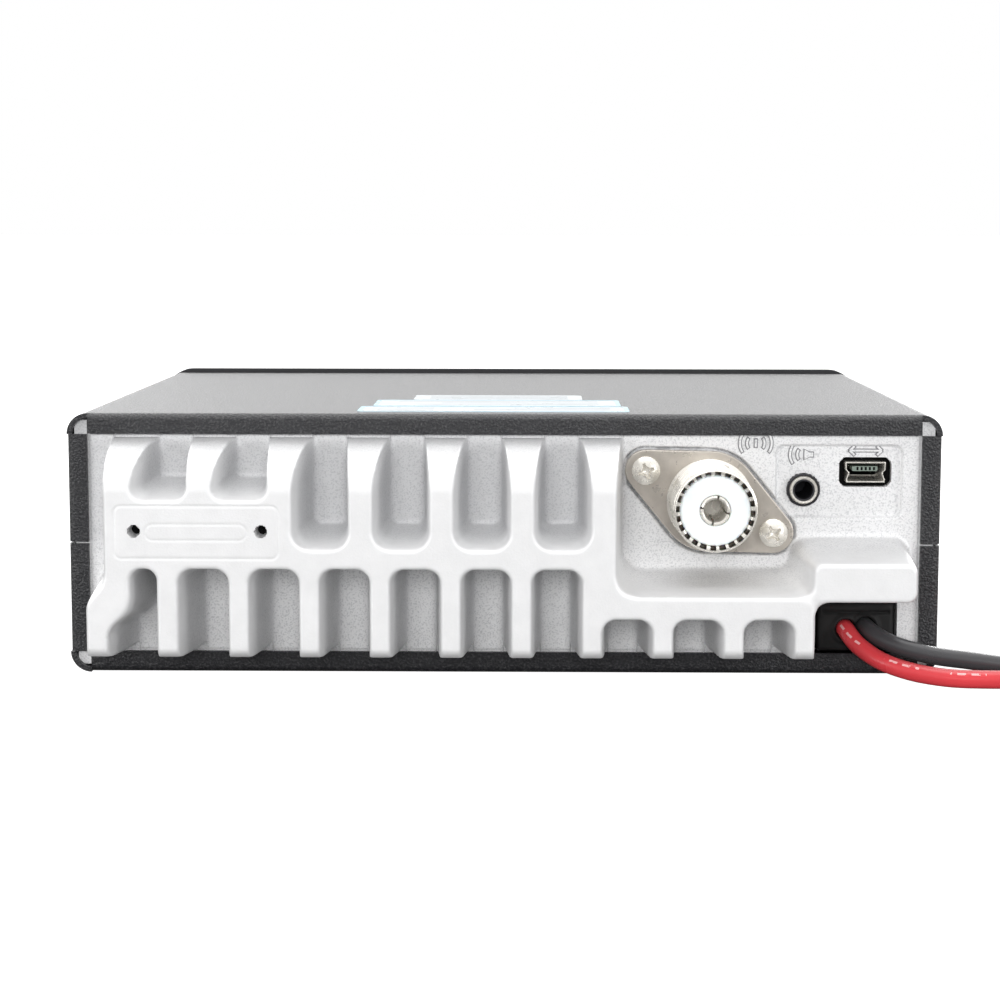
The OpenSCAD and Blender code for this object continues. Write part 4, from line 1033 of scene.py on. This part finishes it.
# ---------- grommet ----------
def make_grommet():
    """Rubber block in the casting's notch: two lead bores with raised lips, and a flange behind the wall."""
    x0, x1, z0, z1 = -76.4, -61.6, 4.5, 14.0
    step = 0.2
    xs, zs = np.arange(x0, x1 + 0.01, step), np.arange(z0, z1 + 0.01, step)
    x, z = np.meshgrid(xs, zs, indexing="ij")
    leads = [(-67.0, 8.9), (-70.8, 9.4)]
    dist = np.minimum.reduce([np.hypot(x - a, z - b) for a, b in leads])
    edge = -box_field(x, z, x0, x1, z0, z1, 1.0)
    y = 62.2 - 0.9 * (1 - np.sqrt(np.clip(1 - (1 - np.clip(edge / 1.0, 0, 1)) ** 2, 0, 1)))
    y = y + 0.55 * smooth_step(1 - np.abs(dist - 2.4) / 0.8)
    y = np.where(dist < 1.9, 60.5, y)
    y = y - 0.5 * smooth_step(1 - np.abs(z - 12.2) / 0.5) * smooth_step((edge - 0.6) / 0.5)
    nx, nz = x.shape
    verts = np.stack([x, y, z], -1).reshape(-1, 3).tolist()
    faces = [(i * nz + k, (i + 1) * nz + k, (i + 1) * nz + k + 1, i * nz + k + 1)
             for i in range(nx - 1) for k in range(nz - 1)]
    ring = [i * nz for i in range(nx)] + [(nx - 1) * nz + k for k in range(1, nz)]
    ring += [i * nz + nz - 1 for i in range(nx - 2, -1, -1)] + [k for k in range(nz - 2, 0, -1)]
    base = len(verts)
    verts += [(verts[r][0], PLATE_Y - 0.2, verts[r][2]) for r in ring]
    m = len(ring)
    faces += [(ring[k], ring[(k + 1) % m], base + (k + 1) % m, base + k) for k in range(m)]
    faces.append([base + k for k in range(m)])
    add("lead_grommet", verts, faces, ["rubber_black"], node="grommet", smooth=50)
    back = plate_y(round_rect(-78.5, -59.5, 4.5, 16.5, 1.2), PLATE_Y - 3, PLATE_Y - 0.25)
    soften(add("lead_grommet_flange", *back, ["rubber_black"]), 0.3)


make_grommet()
dress("dc_terminal", "part_dark", 0.3)


# ---------- pieces that are shown as the CAD has them ----------
dress("front_panel", "panel_black", 0.35, 3, 40)
dress("display_lens", "lens_smoke", 0.2, 3)
for key, width, names in (
    ("lcd_grey", 0.1, "lcd_glass"),
    ("white_plastic", 0.2, "light_guide lcd_holder"),
    ("board_green", 0.1, "front_board main_board"),
    ("zinc_steel", 0.2, "board_screws encoder control_pot channel_shaft transistor_clamp speaker_frame"),
    ("zinc_steel", 0.1, "squelch_shaft"),
    ("zinc_steel", 0.15, "volume_shaft"),
    ("zinc_steel", 0.4, "shield_can"),
    ("part_dark", 0.15, "button_switches mic_insert"),
    ("part_dark", 0.3, "board_parts power_transistors"),
    ("gold_contact", 0.15, "mic_pins"),
    ("film_tan", 0.05, "ribbon"),
    ("pad_grey", 0.05, "thermal_pads"),
    ("magnet_grey", 0.5, "speaker_magnet"),
    ("paper_black", 0.15, "speaker_cone"),
    ("cloth_black", 0.1, "speaker_cloth"),
):
    for name in names.split():
        dress(name, key, width)
for name in ["button_%d" % (n + 1) for n in range(6)] + ["power_button"]:
    dress(name, "key_black", 0.45, 4)

# ---------- knobs ----------
F = FRONT_Y


def knob(name, body, node, at, rows, segs, ribs, rib_rows, depth, dimple=None):
    """Turned knob along -Y: rows [(radius, y)] from the rim at the panel to the middle of its face, ribs cut
    to a depth in the rows rib_rows, and a finger dimple (x, z, radius, depth) in its face."""
    def shape(i, r, y, a):
        if rib_rows[0] <= i <= rib_rows[1]:
            r = r - depth * (0.5 - 0.5 * math.cos(a * ribs)) ** 1.6
        if dimple and i > rib_rows[1]:
            d = math.hypot(r * math.cos(a) - dimple[0], r * math.sin(a) - dimple[1])
            y = y + dimple[3] * float(smooth_step((dimple[2] + 0.35 - d) / 0.9))
        return r, y

    verts, faces = around_y(*at, rows, segs, shape)
    last = len(verts) - segs
    faces += [[last + k for k in range(segs)], list(range(segs))]
    add(name, verts, faces, ["key_black"], node=node, body=body, smooth=38)


rows = [(6.0, F - 1), (14.4, F - 1), (14.9, F - 1.2), (15.0, F - 1.6), (15.0, F - 3.2), (14.7, F - 3.9),
        (14.2, F - 4.1), (13.9, F - 4.3), (13.8, F - 4.7)]
rows += [(13.8 - 0.035 * k, F - 4.7 - 0.75 * k) for k in range(1, 10)]
grip = (8, len(rows) - 1)
rows += [(13.3, F - 11.9), (13.0, F - 12.3), (12.5, F - 12.55)]
rows += [(r, F - 12.6 - 0.4 * (1 - (r / 12.4) ** 2)) for r in np.linspace(12.2, 0.35, 30)]
knob("channel_dial", "channel", "channel_knob", CHANNEL, rows, 288, 48, grip, 0.45, dimple=(8.6, 0, 3.0, 0.85))
rows = [(4.7, F - 1), (8.9, F - 1), (9.2, F - 1.2), (9.3, F - 1.5), (9.3, F - 2.2)]
rows += [(9.3 - 0.02 * k, F - 2.2 - 0.4 * k) for k in range(1, 7)]
rows += [(9.0, F - 5.1), (8.7, F - 5.4), (8.2, F - 5.5), (6.0, F - 5.5), (4.0, F - 5.5), (3.1, F - 5.4)]
knob("squelch_dial", "squelch", "squelch_knob", VOLUME, rows, 216, 36, (4, 10), 0.35)
rows = [(3.0, F - 6), (6.1, F - 6), (6.4, F - 6.2), (6.5, F - 6.5), (6.5, F - 7.2)]
rows += [(6.5 - 0.02 * k, F - 7.2 - 0.7 * k) for k in range(1, 8)]
rows += [(6.2, F - 12.9), (5.9, F - 13.2), (5.5, F - 13.3)]
rows += [(r, F - 13.35) for r in (5.0, 4.0, 3.0, 2.0, 1.0, 0.3)]
knob("volume_dial", "volume", "volume_knob", VOLUME, rows, 192, 30, (4, 11), 0.3)
outline = round_rect(VOLUME[0] - 0.4, VOLUME[0] + 0.4, VOLUME[1] + 2.2, VOLUME[1] + 5.6, 0.3, 3)
line = plate_y(outline, F - 13.5, F - 13.2)
soften(add("volume_pointer", *line, ["white_plastic"], body="volume"), 0.08)


# ---------- microphone socket ----------
def make_mic():
    mx, mz = MIC
    lead_in = [(6.85, F - 7.7), (7.0, F - 8), (7.5, F - 8), (7.7, F - 7.8)]
    pitch = 1.0
    crests = [(7.86, float(v)) for v in np.arange(F - 7.6, F - 2.4, pitch / 8)]
    rows = lead_in + crests
    rows += [(7.45, F - 2.2), (7.45, WALL_Y), (9.2, WALL_Y), (9.2, WALL_Y + 1.5), (7.45, WALL_Y + 1.5),
             (7.45, -79.6), (6.85, -79.6), (6.85, F - 7.7)]

    def threaded(i, r, y, a):
        cut = len(lead_in) <= i < len(lead_in) + len(crests)
        return (r - thread_cut(y, a, pitch, 0.42) if cut else r), y

    add("mic_barrel", *around_y(mx, mz, rows, 160, threaded), ["nickel"], node="mic_shell", smooth=48)
    # six-sided nut with rounded corners
    segs, sixth, across = 48, math.pi / 3, 9.35
    turns = [2 * math.pi * k / segs for k in range(segs)]
    flats = [across * math.cos(sixth / 2) / math.cos((a + sixth / 2) % sixth - sixth / 2) for a in turns]
    reach = [min(across, r) for r in flats]
    inner = [(mx + 7.55 * math.cos(a), mz + 7.55 * math.sin(a)) for a in turns]
    outer = [(mx + r * math.cos(a), mz + r * math.sin(a)) for a, r in zip(turns, reach)]
    back = F - 2.15
    loops = [(outer, back), (outer, F), (inner, F), (inner, back)]
    verts = [(p[0], y, p[1]) for line, y in loops for p in line]
    nut = add("mic_ring_nut", verts, ring_faces(4, segs, closed=True), ["nickel"], node="mic_nut")
    soften(nut, 0.15, 2, 25)
    outline = [(mx - 0.9, mz - 6.8), (mx + 0.9, mz - 6.8), (mx + 0.7, mz - 5.9), (mx - 0.7, mz - 5.9)]
    soften(add("mic_key", *plate_y(outline, F - 5.5, F - 0.9), ["part_dark"]), 0.15)


make_mic()


# ---------- stage and light ----------
FLOOR_TONE, FLOOR_IN_GLOSS = 0.42, 0.08  # the floor, and the floor as reflections see it
FLOOR_HALF, FLOOR_Z = 20, -0.0004
GLOSS_NEAR, GLOSS_FAR, GLOSS_ABOVE = 0.55, 1.62, 0.9  # world in reflections: camera's side, far, overhead
FILL_NEAR, FILL_ABOVE, FILL = 0.2, 0.12, 0.05  # world as fill light


def make_floor():
    mat = bpy.data.materials.new("studio_floor")
    mat.use_nodes = True
    tree = mat.node_tree
    bsdf = tree.nodes["Principled BSDF"]
    for key, value in (("Roughness", 0.9), ("Specular IOR Level", 0.1), ("Emission Color", (1, 1, 1, 1))):
        bsdf.inputs[key].default_value = value
    path = shader_node(tree, "LightPath", {}).outputs
    tones = {"Factor": path["Is Glossy Ray"], "A": (*[FLOOR_TONE] * 3, 1), "B": (*[FLOOR_IN_GLOSS] * 3, 1)}
    tone = shader_node(tree, "Mix", tones, data_type="RGBA")
    tree.links.new(tone.outputs["Result"], bsdf.inputs["Base Color"])
    tree.links.new(path["Is Camera Ray"], bsdf.inputs["Emission Strength"])
    mesh = bpy.data.meshes.new("floor")
    corners = [(x * FLOOR_HALF, y * FLOOR_HALF, FLOOR_Z) for x, y in ((-1, -1), (1, -1), (1, 1), (-1, 1))]
    mesh.from_pydata(corners, [], [(0, 1, 2, 3)])
    mesh.materials.append(mat)
    floor = bpy.data.objects.new("floor", mesh)
    scene.collection.objects.link(floor)


def make_world():
    """White studio: full strength to the eye, bright on the far side in reflections, dim as fill light."""
    world = bpy.data.worlds.new("studio")
    world.use_nodes = True
    scene.world = world
    tree = world.node_tree
    path = shader_node(tree, "LightPath", {}).outputs
    coords = shader_node(tree, "TexCoord", {}).outputs["Generated"]
    place = shader_node(tree, "SeparateXYZ", {0: coords}).outputs

    def towards(axis, strength):
        return maths(tree, "MULTIPLY", maths(tree, "MAXIMUM", place[axis], 0.0), strength)

    side = spread(tree, place["Y"], 0.5, -0.6, GLOSS_NEAR, GLOSS_FAR)
    gloss = maths(tree, "ADD", side, towards("Z", GLOSS_ABOVE))
    gloss = maths(tree, "MULTIPLY", gloss, path["Is Glossy Ray"])
    dome = maths(tree, "ADD", towards("Y", FILL_NEAR), towards("Z", FILL_ABOVE))
    fill = maths(tree, "MULTIPLY", path["Is Diffuse Ray"], maths(tree, "ADD", dome, FILL))
    seen = maths(tree, "ADD", gloss, path["Is Camera Ray"])
    ground = tree.nodes["Background"]
    ground.inputs["Color"].default_value = (1, 1, 1, 1)
    tree.links.new(maths(tree, "ADD", seen, fill), ground.inputs["Strength"])


def soft_box(name, at, aim, size, power, glossy=True):
    data = bpy.data.lights.new(name, "AREA")
    data.shape = "RECTANGLE"
    data.size, data.size_y = size
    data.energy = power
    obj = bpy.data.objects.new(name, data)
    obj.visible_glossy = glossy
    obj.visible_camera = False
    obj.location = at
    obj.rotation_mode = "QUATERNION"
    obj.rotation_quaternion = (Vector(aim) - Vector(at)).to_track_quat("-Z", "Y")
    scene.collection.objects.link(obj)


make_floor()
make_world()
MIDDLE = (0, 0.05, 0.02)
soft_box("key", (0.05, 1.25, 0.25), MIDDLE, (0.5, 0.35), 9.2, glossy=False)
soft_box("left", (0.92, 0.78, 0.26), MIDDLE, (0.4, 0.4), 4.2)
soft_box("right", (-0.92, 0.78, 0.26), MIDDLE, (0.4, 0.4), 4.2)
soft_box("top", (0.0, 0.1, 1.1), (0, 0.05, 0), (0.9, 0.6), 4.5)
soft_box("front_left", (-0.75, -1.05, 0.5), (0, -0.05, 0.02), (0.6, 0.5), 11)
soft_box("front_right", (0.75, -1.05, 0.5), (0, -0.05, 0.02), (0.6, 0.5), 11)
scene.view_settings.view_transform = "Standard"
scene.view_settings.look = "None"
